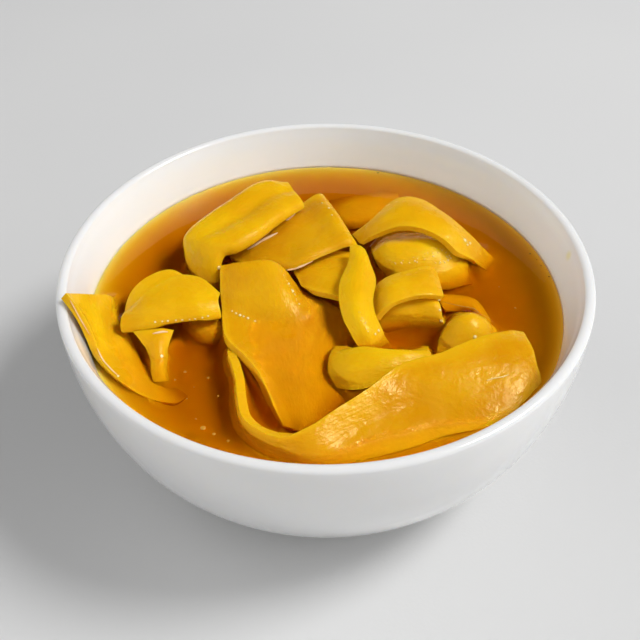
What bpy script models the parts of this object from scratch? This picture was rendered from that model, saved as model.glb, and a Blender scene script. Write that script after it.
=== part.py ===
"""A white porcelain bowl of clear amber broth with folded strips and parcels of
wonton dough standing out of it.  The origin is the middle of the foot's resting
face, +Z is up and -Y is the side the bowl is seen from."""

import math

import bmesh
import bpy
import numpy as np
from mathutils import Vector

MM = 0.001

# Bowl, in millimetres.
RIM_RADIUS = 85.0
RIM_HEIGHT = 69.0
BODY_DEPTH = 67.4
BASE_RADIUS = 35.9
FULLNESS = 2.135
LIP_THICKNESS = 3.4
LIP_CROWN = 1.2
LIP_SHOULDER = 0.9
WALL_THICKNESS = 6.2
WALL_FULL_AT = 15.0
FOOT_OUTER_RADIUS = 33.0
FOOT_INNER_RADIUS = 28.0
FOOT_TAPER = 1.0
BOWL_STEPS = 36
WALL_POINTS = 7

# Broth.
BROTH_LEVEL = 53.3
PIECE_GAP = 0.42
WALL_GAP = 0.45

# Dough.
DOUGH_THICKNESS = 2.4
FOLDED_THICKNESS = 2.0
LOOP_THICKNESS = 2.8
DOUGH_EDGE_ROUND = 0.7
FLAP_CROWN = 0.4


def clear_scene():
    for old in list(bpy.data.objects):
        bpy.data.objects.remove(old)


def new_collection(name):
    collection = bpy.data.collections.new(name)
    bpy.context.scene.collection.children.link(collection)
    return collection


def plain_material(name, colour, roughness, transmission=0.0):
    material = bpy.data.materials.new(name)
    material.use_nodes = True
    shader = material.node_tree.nodes["Principled BSDF"]
    shader.inputs["Base Color"].default_value = (*colour, 1.0)
    shader.inputs["Roughness"].default_value = roughness
    shader.inputs["Transmission Weight"].default_value = transmission
    return material


# ---------------------------------------------------------------- turned shapes

def outer_wall(turn):
    """The outer curve's radius and height, from the rim at 0 to the base at 90 degrees."""
    across = math.cos(turn) ** (2 / FULLNESS)
    down = math.sin(turn) ** (2 / FULLNESS)
    return (
        BASE_RADIUS + (RIM_RADIUS - BASE_RADIUS) * across,
        RIM_HEIGHT - BODY_DEPTH * down,
    )


def inner_wall(turn, clearance=0.0):
    """The outer curve set in by the wall's thickness, which grows down from the lip."""
    step = 0.001
    before = outer_wall(max(turn - step, 0.0))
    after = outer_wall(min(turn + step, math.pi / 2))
    run = Vector((after[0] - before[0], after[1] - before[1])).normalized()
    radius, height = outer_wall(turn)
    depth = min((RIM_HEIGHT - height) / WALL_FULL_AT, 1.0)
    growth = depth * (2.0 - depth)
    thickness = LIP_THICKNESS + (WALL_THICKNESS - LIP_THICKNESS) * growth + clearance
    return radius + run.y * thickness, height - run.x * thickness


def quarter_turns(points):
    return [math.pi / 2 * step / points for step in range(points + 1)]


def turned(name, profile, collection):
    """A solid of revolution: a profile of (radius, height) that runs down its outer side."""
    mesh = bpy.data.meshes.new(name)
    corners = [(radius * MM, 0.0, height * MM) for radius, height in profile]
    links = [(index, index + 1) for index in range(len(corners) - 1)]
    mesh.from_pydata(corners, links, [])
    shape = bpy.data.objects.new(name, mesh)
    collection.objects.link(shape)
    screw = shape.modifiers.new("Turn", "SCREW")
    screw.steps = screw.render_steps = BOWL_STEPS
    screw.use_merge_vertices = True
    screw.merge_threshold = 0.00001
    screw.use_smooth_shade = True
    return shape


def make_bowl(collection):
    lip_base = RIM_HEIGHT - LIP_SHOULDER
    outside = [(RIM_RADIUS, lip_base)]
    outside += [outer_wall(turn) for turn in quarter_turns(WALL_POINTS)[1:]]
    inside = [(RIM_RADIUS - LIP_THICKNESS, lip_base)]
    inside += [inner_wall(turn) for turn in quarter_turns(WALL_POINTS)[1:]]
    lip = []
    half_lip = LIP_THICKNESS / 2
    for degrees in (150, 120, 90, 60, 30):
        angle = math.radians(degrees)
        lip.append((
            RIM_RADIUS - half_lip + half_lip * math.cos(angle),
            lip_base + LIP_CROWN * math.sin(angle),
        ))
    base_height = RIM_HEIGHT - BODY_DEPTH
    foot = [
        (FOOT_OUTER_RADIUS + FOOT_TAPER, base_height),
        (FOOT_OUTER_RADIUS, 0.0),
        (FOOT_INNER_RADIUS, 0.0),
        (FOOT_INNER_RADIUS - FOOT_TAPER, base_height),
        (0.0, base_height),
    ]
    floor_centre = (0.0, inside[-1][1])
    profile = [floor_centre] + inside[::-1] + lip + outside + foot
    bowl = turned("bowl", profile, collection)
    bowl.data.materials.append(plain_material("porcelain", (0.86, 0.86, 0.85), 0.18))
    return bowl


def make_broth(collection):
    """The soup up to its level, a hair clear of the wall."""
    wall = [inner_wall(turn, WALL_GAP) for turn in quarter_turns(WALL_POINTS)]
    radii, heights = np.array(wall[::-1]).T
    surface_radius = float(np.interp(BROTH_LEVEL, heights, radii))
    wetted = [point for point in wall if point[1] < BROTH_LEVEL]
    profile = [(0.0, BROTH_LEVEL), (surface_radius, BROTH_LEVEL)] + wetted
    profile += [(0.0, wetted[-1][1])]
    broth = turned("broth", profile, collection)
    broth.data.materials.append(plain_material("clear_broth", (0.55, 0.22, 0.02), 0.05, 0.6))
    return broth


# ---------------------------------------------------------------- dough strips

UP = Vector((0.0, 0.0, 1.0))


class Rib:
    """A line across a strip, from one edge to the other, given as x, y and height over
    the broth. It stands out from the straight line towards `facing` by `rise` in its
    middle, or by several rises evenly along it."""

    def __init__(self, left, right, rise, facing=UP):
        left, right = Vector(left), Vector(right)
        self.facing = Vector(facing).normalized()
        rises = rise if isinstance(rise, tuple) else (rise,)
        self.points = [left]
        for place, lift in enumerate(rises, 1):
            spot = left.lerp(right, place / (len(rises) + 1))
            self.points.append(spot + self.outward(right - left) * lift)
        self.points.append(right)

    def outward(self, along):
        along = along.normalized()
        return (self.facing - along * self.facing.dot(along)).normalized()

    def skirt(self, reach, drop):
        """Carries the left edge on, outwards by a reach and inwards by a drop."""
        away = self.points[0] - self.points[1]
        away -= self.facing * away.dot(self.facing)
        hem = self.points[0] + away.normalized() * reach - self.facing * drop
        self.points.insert(0, hem)
        return self

    def roll(self, radius, degrees, pieces=2):
        """Rolls the right edge under, in a round of the given radius."""
        edge = self.points[-1]
        ahead = (edge - self.points[-2]).normalized()
        out = self.outward(ahead)
        for piece in range(1, pieces + 1):
            angle = math.radians(degrees) * piece / pieces
            forward = ahead * radius * math.sin(angle)
            self.points.append(edge + forward - out * radius * (1 - math.cos(angle)))
        return self


def line(*points):
    """A rib through the given points."""
    rib = Rib(points[0], points[-1], 0.0)
    rib.points = [Vector(point) for point in points]
    return rib


def between(top, bottom, pieces):
    """A straight rib cut in even pieces."""
    top, bottom = Vector(top), Vector(bottom)
    return line(*[top.lerp(bottom, piece / pieces) for piece in range(pieces + 1)])


def folded(top, nose, under, radius):
    """A rib of a piece folded back on itself: from the top flap's edge to the round
    nose of the fold, and back to the under flap's edge."""
    top, nose, under = Vector(top), Vector(nose), Vector(under)
    rib = Rib(top, under, 0.0)
    centre = nose + (rib.points[1] - nose).normalized() * radius
    above = centre + UP * radius
    below = centre - UP * radius
    rib.points = [top, (top + above) / 2 + UP * FLAP_CROWN, above, nose, below, (below + under) / 2, under]
    return rib


def smooth_point(points, place):
    """A point on the smooth curve through the given ones, at place 0 to len - 1. Its
    slopes allow for uneven spacing, so that close points make no loops."""
    last = len(points) - 1
    start = min(int(place), last - 1)
    part = place - start
    here, after = points[start], points[start + 1]
    before = points[start - 1] if start > 0 else here * 2 - after
    beyond = points[start + 2] if start + 2 <= last else after * 2 - here
    gap_before = math.sqrt((here - before).length)
    gap = math.sqrt((after - here).length)
    gap_beyond = math.sqrt((beyond - after).length)
    step = (after - here) / gap
    slope_here = (here - before) / gap_before - (after - before) / (gap_before + gap) + step
    slope_after = step - (beyond - here) / (gap + gap_beyond) + (beyond - after) / gap_beyond
    rest = 1.0 - part
    return (
        here * (1 + 2 * part) * rest ** 2
        + after * part ** 2 * (3 - 2 * part)
        + slope_here * gap * part * rest ** 2
        - slope_after * gap * part ** 2 * rest
    )


def dough(name, ribs, collection, thickness=DOUGH_THICKNESS, spans=(1, 2)):
    """A sheet of dough draped over its ribs, thickened and with its cut edges rounded.
    Its spans are the facets from rib to rib, and from point to point of a rib."""
    along, across = len(ribs) - 1, len(ribs[0].points) - 1
    cage = bmesh.new()
    bmesh.ops.create_grid(
        cage, x_segments=across * spans[1], y_segments=along * spans[0], size=1.0
    )
    for corner in cage.verts:
        side = (corner.co.x + 1) / 2 * across
        length = (corner.co.y + 1) / 2 * along
        column = [smooth_point(rib.points, side) for rib in ribs]
        place = smooth_point(column, length) + Vector((0.0, 0.0, BROTH_LEVEL))
        corner.co = place * MM
    mesh = bpy.data.meshes.new(name)
    cage.to_mesh(mesh)
    cage.free()
    mesh.shade_smooth()
    mesh.materials.append(plain_material(name + "_dough", (0.84, 0.47, 0.03), 0.3))
    sheet = bpy.data.objects.new(name, mesh)
    collection.objects.link(sheet)
    solidify = sheet.modifiers.new("Thickness", "SOLIDIFY")
    solidify.thickness = thickness * MM
    solidify.offset = 0.0
    solidify.use_even_offset = True
    bevel = sheet.modifiers.new("Soft edge", "BEVEL")
    bevel.width = DOUGH_EDGE_ROUND * MM
    bevel.segments = 1
    bevel.limit_method = "ANGLE"
    bevel.angle_limit = math.radians(50)
    sheet.modifiers.new("Facets", "TRIANGULATE")
    return sheet


# Every rib below runs across its strip; x, y and height over the broth are in
# millimetres, and the ribs follow each other along the strip.

def rim_strip(collection):
    """A strip lying against the left wall: one corner hooks over the rim, the edge runs
    down along the wall, and the rest dips under the broth."""
    ribs = [
        line(
            (-79.8, -18.6, 18.7), (-77.1, -11.9, 12.9), (-75.8, -5.6, 7.0),
            (-72.4, 0.0, 1.6), (-71.8, 2.7, -2.2),
        ),
        line(
            (-74.5, -24.6, 15.2), (-74.6, -19.1, 9.4), (-73.0, -13.3, 4.4),
            (-71.3, -8.3, 0.2), (-69.6, -5.8, -3.0),
        ),
        line(
            (-72.0, -26.5, 7.4), (-72.1, -23.5, 5.0), (-70.9, -20.4, 2.4),
            (-69.6, -17.5, 0.0), (-64.0, -15.0, -3.0),
        ),
        line(
            (-70.3, -29.7, 2.4), (-69.0, -28.7, 1.8), (-67.9, -27.3, 0.8),
            (-66.4, -25.7, -0.4), (-60.6, -22.2, -4.0),
        ),
        line(
            (-66.5, -34.0, 0.6), (-65.3, -33.9, 0.5), (-63.9, -33.5, 0.0),
            (-62.2, -32.1, -1.0), (-57.7, -27.7, -4.8),
        ),
        line(
            (-62.5, -37.5, -0.7), (-61.1, -37.4, -0.8), (-59.4, -36.6, -1.2),
            (-57.6, -35.3, -2.2), (-53.8, -30.3, -6.2),
        ),
        line(
            (-57.7, -40.9, -2.0), (-56.0, -40.3, -2.2), (-54.4, -39.0, -2.8),
            (-52.8, -36.9, -4.2), (-49.8, -31.7, -8.0),
        ),
        line(
            (-52.2, -43.3, -3.4), (-50.5, -42.6, -3.8), (-49.0, -41.1, -4.6),
            (-47.3, -38.5, -6.2), (-45.1, -33.8, -9.5),
        ),
        line(
            (-46.3, -43.7, -5.4), (-45.0, -42.8, -6.0), (-43.8, -41.1, -7.0),
            (-42.4, -38.3, -8.8), (-40.9, -34.2, -11.5),
        ),
    ]
    return dough("rim_strip", ribs, collection, spans=(1, 1))


def left_fold(collection):
    """A piece folded back on itself: a top flap, a round fold towards the front and
    an under flap that shows behind it."""
    ribs = [
        folded((-63.0, -11.0, 4.2), (-65.0, -15.5, 1.8), (-65.5, -9.5, -0.6), 2.3),
        folded((-59.5, -9.0, 7.2), (-57.0, -17.1, 3.8), (-63.6, 0.0, 3.2), 2.3),
        folded((-53.5, -3.2, 8.8), (-49.4, -15.5, 5.2), (-58.1, 5.9, 5.0), 2.3),
        folded((-47.5, 1.2, 8.8), (-40.6, -14.0, 5.4), (-51.4, 8.4, 5.0), 2.3),
        folded((-41.0, 0.8, 7.8), (-37.6, -13.5, 4.8), (-45.5, 4.7, 3.2), 2.3),
        folded((-34.5, -5.5, 6.2), (-33.9, -11.9, 4.2), (-38.5, -1.7, 1.2), 2.3),
    ]
    return dough("left_fold", ribs, collection, thickness=FOLDED_THICKNESS, spans=(1, 1))


def left_tail(collection):
    """A tail that leaves the left fold from below and narrows as it sinks."""
    ribs = [
        line((-61.0, -17.5, 1.4), (-57.1, -17.7, 2.2), (-52.6, -17.5, 2.4), (-48.8, -16.6, 1.1)),
        line((-58.4, -20.8, 1.2), (-55.4, -21.0, 2.2), (-52.2, -20.8, 2.4), (-49.6, -19.4, 0.8)),
        line((-55.6, -24.3, 0.2), (-53.7, -24.9, 1.2), (-51.9, -24.5, 1.2), (-50.5, -23.1, -0.2)),
        line((-54.3, -27.8, -1.2), (-52.8, -28.0, -0.6), (-51.5, -27.9, -0.7), (-50.5, -26.8, -1.8)),
        line((-53.7, -32.2, -2.0), (-52.4, -32.6, -1.6), (-51.2, -32.5, -1.7), (-50.1, -31.3, -3.0)),
        line((-52.8, -35.3, -3.2), (-51.4, -35.7, -2.9), (-50.1, -35.5, -3.1), (-49.3, -34.0, -4.7)),
    ]
    return dough("left_tail", ribs, collection, thickness=FOLDED_THICKNESS, spans=(1, 1))


def back_fold(collection):
    """A broad folded sheet, the highest piece: it bends down into a tongue at its left
    end, its near edge rolls under, and its far side drapes into the broth."""
    leftward, slanting = (-0.62, -0.62, 0.3), (-0.4, -0.4, 0.8)
    ribs = [
        Rib((-46.5, 18.5, -4.0), (-38.5, 8.5, -4.0), (0.8, 1.0, 0.8), leftward).skirt(2.0, 2.0),
        Rib((-47.5, 20.0, 4.0), (-38.5, 10.0, 4.0), (1.0, 1.3, 1.0), leftward).skirt(2.5, 3.0),
        Rib((-47.5, 22.5, 8.0), (-36.5, 14.0, 9.0), (0.7, 0.9, 0.9), slanting).skirt(3.0, 6.0),
        Rib((-43.5, 29.5, 9.0), (-30.5, 17.0, 10.5), (0.7, 0.0, 0.9)).skirt(3.0, 12.0),
        Rib((-33.5, 40.5, 10.0), (-23.0, 24.0, 11.0), (0.6, -0.9, 0.3)).skirt(3.0, 13.0),
        Rib((-22.5, 52.0, 10.0), (-16.0, 33.0, 11.0), (0.6, -0.4, 0.2)).skirt(3.0, 13.0),
        Rib((-13.5, 54.0, 8.0), (-8.5, 42.5, 9.0), (0.6, 0.3, 0.4)).skirt(3.0, 11.0),
    ]
    for rib, degrees in zip(ribs, (120, 130, 140, 150, 150, 130, 90)):
        rib.roll(1.7, degrees)
    return dough("back_fold", ribs, collection, thickness=FOLDED_THICKNESS, spans=(1, 1))


def back_strip(collection):
    """A flat strip that comes out from below the back fold, with its cut end raised and
    its near edge rolled under."""
    ribs = [
        Rib((1.0, 50.5, 2.6), (10.5, 21.5, 4.6), (0.6, 0.8, 0.5)),
        Rib((-1.5, 49.5, 6.0), (8.5, 20.5, 8.0), (0.6, 0.9, 0.5)),
        Rib((-7.0, 46.5, 4.4), (2.0, 18.0, 7.4), (0.3, 0.2, 0.0)),
        Rib((-14.0, 38.0, 4.2), (-5.5, 13.5, 7.0), (0.2, -0.2, -0.4)),
        Rib((-21.5, 30.0, 2.6), (-12.0, 11.5, 5.4), (0.2, 0.0, -0.3)),
        Rib((-28.0, 26.0, 1.0), (-20.5, 16.0, 3.0), (0.0, 0.0, 0.0)),
        Rib((-33.0, 22.0, -1.0), (-28.0, 17.0, 0.5), (0.0, 0.0, 0.0)),
    ]
    for rib in ribs:
        rib.roll(1.6, 80)
    return dough("back_strip", ribs, collection, thickness=FOLDED_THICKNESS, spans=(1, 1))


def middle_strip(collection):
    """A flat piece below the back strip's near edge, tilted towards the front."""
    ribs = [
        Rib((-12.5, 16.5, 0.6), (-7.5, 4.0, 1.2), 0.3),
        Rib((-8.0, 18.0, 1.6), (-4.5, 0.5, 2.2), 0.4),
        Rib((-1.0, 19.5, 2.4), (1.0, -2.5, 2.8), 0.6),
        Rib((6.5, 19.5, 2.8), (6.5, -4.5, 3.0), 0.8),
        Rib((11.5, 19.0, 2.4), (10.5, -3.0, 2.6), 0.8),
    ]
    return dough("middle_strip", ribs, collection, spans=(1, 2))


def hanging_ribbon(collection):
    """A narrow ribbon with a round back that hangs over the gap in the middle."""
    ribs = [
        line((8.9, 15.7, 8.0), (11.3, 15.5, 8.6), (13.3, 14.0, 8.0)),
        line((8.4, 9.0, 7.4), (11.7, 8.0, 8.6), (14.7, 7.5, 7.2)),
        line((5.1, -0.8, 6.6), (10.3, -2.0, 8.0), (16.1, 1.7, 5.6)),
        line((4.6, -8.5, 5.6), (9.7, -10.1, 7.0), (14.7, -6.8, 4.4)),
        line((5.7, -15.5, 4.2), (10.7, -16.9, 5.4), (15.4, -13.2, 2.8)),
        line((7.9, -20.4, 2.4), (12.8, -20.6, 3.2), (17.2, -17.2, 1.0)),
        line((10.0, -22.2, -0.4), (14.0, -21.8, 0.0), (18.2, -18.2, -1.4)),
        line((12.2, -21.6, -3.2), (15.6, -21.2, -3.0), (19.4, -18.2, -4.0)),
    ]
    return dough("hanging_ribbon", ribs, collection, spans=(1, 2))


def centre_strip(collection):
    """The broad strip in the middle: it falls away behind its top fold, and in front
    it runs down under the broth, widening, with its left edge still at the surface."""
    ribs = [
        line(
            (-32.4, 11.2, 0.5), (-28.9, 10.9, 1.2), (-21.4, 10.4, 1.6),
            (-16.2, 11.0, -1.2), (-13.5, 11.6, -4.6),
        ),
        line(
            (-34.6, 8.9, 5.6), (-28.4, 8.5, 7.1), (-19.1, 9.4, 7.4),
            (-14.6, 9.2, 4.0), (-12.4, 9.6, -3.4),
        ),
        line(
            (-34.5, 1.2, 3.8), (-27.1, 0.5, 5.2), (-15.2, 1.3, 6.0),
            (-9.6, 2.0, 0.6), (-5.5, 2.6, -4.0),
        ),
        line(
            (-34.0, -4.7, 1.6), (-25.3, -6.3, 2.0), (-12.3, -5.8, 2.6),
            (-5.5, -2.8, -1.0), (1.5, -1.2, -3.6),
        ),
        line(
            (-33.5, -12.0, 0.8), (-24.6, -11.3, -0.5), (-11.0, -11.0, -0.6),
            (-1.2, -9.0, -2.2), (6.0, -7.0, -3.8),
        ),
        line(
            (-31.6, -21.3, 1.2), (-22.6, -21.5, -1.0), (-9.0, -20.2, -1.4),
            (2.0, -16.0, -3.2), (10.0, -14.0, -5.0),
        ),
        line(
            (-26.2, -28.5, 1.2), (-19.4, -30.2, -1.6), (-8.7, -29.4, -2.0),
            (0.2, -25.0, -4.6), (9.0, -20.5, -6.8),
        ),
        line(
            (-21.6, -35.1, 0.5), (-15.9, -37.5, -2.4), (-7.7, -38.1, -2.6),
            (0.6, -33.5, -5.0), (8.9, -28.5, -7.4),
        ),
        line(
            (-18.7, -41.6, -0.6), (-13.9, -44.2, -3.2), (-7.1, -45.6, -3.4),
            (0.5, -41.5, -5.0), (8.1, -36.0, -7.6),
        ),
        line(
            (-16.2, -48.0, -2.0), (-11.8, -49.7, -4.2), (-6.8, -51.0, -4.4),
            (-0.5, -47.5, -5.8), (6.0, -42.0, -8.2),
        ),
        line(
            (-13.5, -53.3, -4.0), (-10.0, -54.1, -5.4), (-5.8, -55.0, -6.2),
            (-1.0, -52.0, -7.6), (3.8, -47.0, -9.4),
        ),
    ]
    return dough("centre_strip", ribs, collection, spans=(1, 1))


def front_loop(collection):
    """The long strip in front: it stands on its edge at the left, turns the corner by
    the near wall, and opens out flat as it climbs to its cut end at the right. Its
    near side is under the broth."""
    upright = [
        between((-30.0, -22.6, -1.2), (-31.8, -21.8, -6.4), 5),
        between((-29.0, -28.2, 1.4), (-31.0, -27.5, -5.0), 5),
        between((-26.5, -36.9, 2.4), (-28.6, -36.1, -5.0), 5),
        between((-25.1, -46.4, 2.6), (-27.8, -45.9, -5.0), 5),
        between((-23.3, -53.7, 2.4), (-26.4, -53.4, -5.0), 5),
        between((-19.4, -58.2, 2.4), (-22.0, -59.8, -5.0), 5),
        between((-13.3, -61.4, 3.0), (-15.5, -64.3, -4.6), 5),
    ]
    flat = [
        line(
            (-6.3, -60.1, 3.6), (-5.7, -61.6, 3.0), (-4.9, -63.3, 1.9),
            (-4.1, -65.6, 0.4), (-3.2, -67.2, -1.6), (-2.4, -67.8, -4.0),
        ),
        line(
            (1.5, -54.3, 4.6), (2.6, -55.7, 3.6), (4.0, -57.1, 2.3),
            (6.3, -58.6, 0.5), (9.0, -62.9, -1.4), (10.9, -66.0, -3.4),
        ),
        line(
            (11.8, -46.6, 5.6), (12.9, -48.8, 4.2), (14.6, -50.9, 2.5),
            (16.9, -52.8, 0.6), (20.4, -58.5, -1.2), (23.0, -62.9, -3.0),
        ),
        line(
            (22.1, -38.1, 6.2), (23.0, -41.2, 5.3), (24.6, -44.8, 3.5),
            (27.1, -48.6, 0.9), (31.1, -54.5, -1.0), (33.7, -58.5, -2.8),
        ),
        line(
            (34.2, -33.5, 5.8), (34.9, -37.7, 5.6), (36.0, -42.1, 4.3),
            (37.8, -47.6, 1.6), (42.0, -53.6, -0.9), (44.6, -56.2, -2.2),
        ),
        line(
            (46.7, -26.7, 5.2), (47.1, -32.0, 5.5), (48.0, -37.2, 4.6),
            (49.5, -43.6, 2.4), (52.0, -48.8, 0.0), (54.1, -50.9, -1.4),
        ),
        line(
            (57.0, -22.2, 3.4), (57.2, -27.4, 4.4), (58.0, -32.2, 4.2),
            (58.7, -37.8, 2.8), (59.9, -41.5, 1.0), (60.6, -43.4, -0.4),
        ),
        line(
            (61.6, -21.0, 1.6), (62.1, -25.8, 3.0), (62.9, -30.2, 3.0),
            (63.2, -34.7, 2.0), (63.6, -37.9, 0.6), (63.7, -39.9, -0.8),
        ),
    ]
    return dough("front_loop", upright + flat, collection, thickness=LOOP_THICKNESS, spans=(1, 1))


def front_parcel(collection):
    """A rounded parcel lying behind the front loop, awash at its left end."""
    ribs = [
        line((3.0, -21.6, -3.0), (1.2, -27.6, -1.4), (1.0, -33.4, -1.6), (3.4, -38.6, -3.6)),
        line((6.6, -22.8, -2.6), (6.3, -27.6, 1.3), (6.4, -34.6, 1.5), (7.9, -40.4, -2.2)),
        line((12.3, -25.4, -2.6), (12.1, -27.8, 2.9), (12.7, -34.9, 2.4), (13.9, -39.4, -1.4)),
        line((19.3, -26.0, -2.4), (19.1, -29.4, 3.2), (20.1, -33.9, 2.2), (21.4, -36.0, -1.4)),
        line((26.5, -24.8, -2.5), (26.2, -29.4, 2.4), (27.1, -31.5, 1.2), (28.1, -32.4, -2.0)),
        line((32.2, -22.6, -3.2), (32.1, -28.0, 0.4), (32.6, -29.6, -0.6), (33.7, -30.2, -3.0)),
    ]
    return dough("front_parcel", ribs, collection, thickness=FOLDED_THICKNESS, spans=(1, 2))


def back_arch(collection):
    """A broad strip arched over the right parcel, both of its ends in the broth."""
    ribs = [
        Rib((10.5, 31.0, 1.5), (13.0, 26.5, 1.5), 0.2),
        Rib((17.0, 33.0, 6.0), (18.5, 25.5, 5.8), 0.8),
        Rib((26.0, 41.0, 9.0), (26.0, 25.0, 9.3), 1.4),
        Rib((33.5, 41.0, 9.5), (33.0, 23.0, 9.8), 1.4),
        Rib((41.0, 35.5, 8.0), (40.0, 20.0, 7.8), 1.4),
        Rib((48.0, 30.0, 4.8), (45.0, 17.0, 4.4), 1.2),
        Rib((54.0, 26.0, 0.5), (50.5, 18.5, 0.0), 0.6),
        Rib((57.6, 24.0, -3.4), (54.0, 17.4, -3.8), 0.6),
        Rib((60.3, 23.2, -7.0), (56.7, 17.9, -7.4), 0.4),
    ]
    return dough("back_arch", ribs, collection, spans=(1, 2))


def right_parcel(collection):
    """The parcel under the back arch. Its near side runs down into the broth."""
    ribs = [
        line(
            (17.0, 29.3, -2.5), (17.3, 22.4, -0.6), (19.2, 17.4, -1.5),
            (21.2, 14.9, -3.0), (22.5, 12.0, -5.0), (23.5, 9.5, -7.5),
        ),
        line(
            (21.6, 34.4, -2.0), (21.8, 22.6, 3.2), (23.1, 15.6, 2.2),
            (24.4, 13.3, -0.2), (25.5, 10.3, -2.6), (26.5, 7.3, -6.0),
        ),
        line(
            (30.4, 35.9, -1.5), (29.7, 22.3, 4.6), (30.2, 15.6, 3.0),
            (31.3, 13.0, 0.4), (32.2, 10.2, -2.0), (33.2, 7.0, -5.4),
        ),
        line(
            (39.0, 34.5, -1.5), (38.1, 23.2, 4.2), (39.1, 17.6, 2.4),
            (39.9, 14.6, 0.0), (41.0, 11.4, -2.2), (42.4, 7.6, -5.6),
        ),
        line(
            (45.2, 31.6, -2.5), (44.6, 23.1, 2.0), (45.4, 19.4, 0.3),
            (45.2, 16.2, -1.2), (46.2, 13.0, -3.0), (47.8, 9.8, -6.0),
        ),
        line(
            (51.1, 27.8, -4.6), (49.8, 22.2, -2.8), (49.6, 18.6, -3.0),
            (49.1, 15.7, -4.2), (49.6, 13.4, -5.8), (50.5, 11.6, -8.0),
        ),
    ]
    return dough("right_parcel", ribs, collection, thickness=FOLDED_THICKNESS, spans=(1, 1))


def right_fold(collection):
    """The upper flap of the fold to the right of the ribbon."""
    ribs = [
        Rib((15.2, 0.0, 1.4), (16.0, -12.0, 0.2), 0.5),
        Rib((20.5, 2.5, 5.2), (20.5, -11.0, 5.4), 1.4),
        Rib((27.5, 5.0, 6.0), (28.0, -8.0, 6.2), 1.2),
        Rib((34.0, 7.5, 5.6), (35.0, -6.5, 5.4), 1.0),
        Rib((36.5, 8.0, 3.8), (38.0, -5.5, 3.8), 0.6),
    ]
    return dough("right_fold", ribs, collection, spans=(1, 2))


def right_underfold(collection):
    """The lower flap, which runs out from below the upper one into the broth."""
    ribs = [
        line((16.2, -5.7, -1.4), (17.0, -8.8, -2.4), (17.9, -11.3, -4.8), (18.9, -12.4, -7.8)),
        line((21.8, -3.8, 2.4), (23.3, -7.3, 1.2), (24.6, -9.7, -2.4), (25.7, -11.1, -6.5)),
        line((28.4, -3.4, 2.8), (29.8, -6.9, 1.6), (31.0, -9.7, -1.6), (32.1, -11.4, -5.5)),
        line((33.9, -4.0, 2.8), (35.2, -7.5, 2.0), (36.4, -10.7, -0.4), (37.4, -12.2, -3.0)),
        line((36.2, -4.1, 2.0), (37.2, -7.8, 1.4), (37.9, -11.1, 0.0), (38.6, -12.3, -2.0)),
    ]
    return dough("right_underfold", ribs, collection, thickness=FOLDED_THICKNESS, spans=(1, 1))


def right_knob(collection):
    """A small rounded knob of dough behind the front loop's raised end."""
    ribs = [
        Rib((39.5, -12.0, -4.0), (34.5, -25.0, -4.0), 3.0),
        Rib((42.5, -8.0, -3.5), (40.0, -27.0, -3.0), 7.2),
        Rib((46.5, -7.0, -3.5), (45.8, -26.5, -3.0), 8.2),
        Rib((50.5, -8.5, -4.0), (51.0, -24.0, -4.0), 6.4),
        Rib((53.2, -10.5, -6.0), (54.8, -20.0, -6.0), 2.8),
    ]
    return dough("right_knob", ribs, collection, thickness=FOLDED_THICKNESS, spans=(1, 2))


DOUGH_PIECES = (
    rim_strip, left_fold, left_tail, back_fold, back_strip, middle_strip,
    hanging_ribbon, centre_strip, front_loop, front_parcel, back_arch,
    right_parcel, right_fold, right_underfold, right_knob,
)


def cut_clear(solid, piece, cutters):
    """Cuts a solid round a piece, a little clear of it."""
    cutter = piece.copy()
    cutter.data = piece.data.copy()
    cutter.name = piece.name + "_clearance"
    swell = cutter.modifiers.new("Swell", "DISPLACE")
    swell.strength = PIECE_GAP * MM
    swell.mid_level = 0.0
    cutter.hide_render = True
    cutter.display_type = "WIRE"
    cutters.objects.link(cutter)
    cut = solid.modifiers.new("Clear of " + piece.name, "BOOLEAN")
    cut.operation = "DIFFERENCE"
    cut.solver = "EXACT"
    cut.use_self = True
    cut.object = cutter


def shade_by_area(shape):
    """Lets the large faces set the shading, so that flat ones look flat."""
    normals = shape.modifiers.new("Shading", "WEIGHTED_NORMAL")
    normals.keep_sharp = True


def main():
    clear_scene()
    parts = new_collection("bowl_of_wonton_soup")
    cutters = new_collection("clearances")
    bowl = make_bowl(parts)
    broth = make_broth(parts)
    for make_piece in DOUGH_PIECES:
        cut_clear(broth, make_piece(parts), cutters)
    shade_by_area(bowl)
    shade_by_area(broth)


main()
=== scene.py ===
"""A white porcelain bowl of clear amber broth, with folded strips and parcels of
cooked wonton dough in it, on a pale table in a soft studio light."""

import math

import bmesh
import bpy
import numpy as np
from mathutils import Matrix, Vector, noise
from mathutils.bvhtree import BVHTree


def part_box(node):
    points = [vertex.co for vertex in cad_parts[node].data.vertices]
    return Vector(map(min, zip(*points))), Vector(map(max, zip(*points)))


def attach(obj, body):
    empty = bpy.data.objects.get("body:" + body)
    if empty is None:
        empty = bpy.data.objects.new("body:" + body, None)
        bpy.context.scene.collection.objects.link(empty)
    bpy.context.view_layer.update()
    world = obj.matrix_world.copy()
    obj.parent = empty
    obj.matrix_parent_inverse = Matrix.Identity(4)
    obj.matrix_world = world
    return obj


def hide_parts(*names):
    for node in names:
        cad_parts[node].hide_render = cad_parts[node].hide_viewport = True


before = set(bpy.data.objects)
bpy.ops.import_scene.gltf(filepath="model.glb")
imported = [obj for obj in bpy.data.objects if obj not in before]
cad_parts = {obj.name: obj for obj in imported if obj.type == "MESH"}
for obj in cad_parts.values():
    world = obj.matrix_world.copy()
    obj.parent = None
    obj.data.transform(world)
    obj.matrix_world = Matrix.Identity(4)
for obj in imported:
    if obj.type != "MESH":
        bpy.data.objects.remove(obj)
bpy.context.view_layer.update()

# ------------------------------------------------------------------ table and studio
# The bowl stands on a plain pale table. The camera looks down on it from the front at
# about 43 degrees. One soft lamp hangs at the right, and the rest is the room's own
# light, broad and soft.

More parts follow.
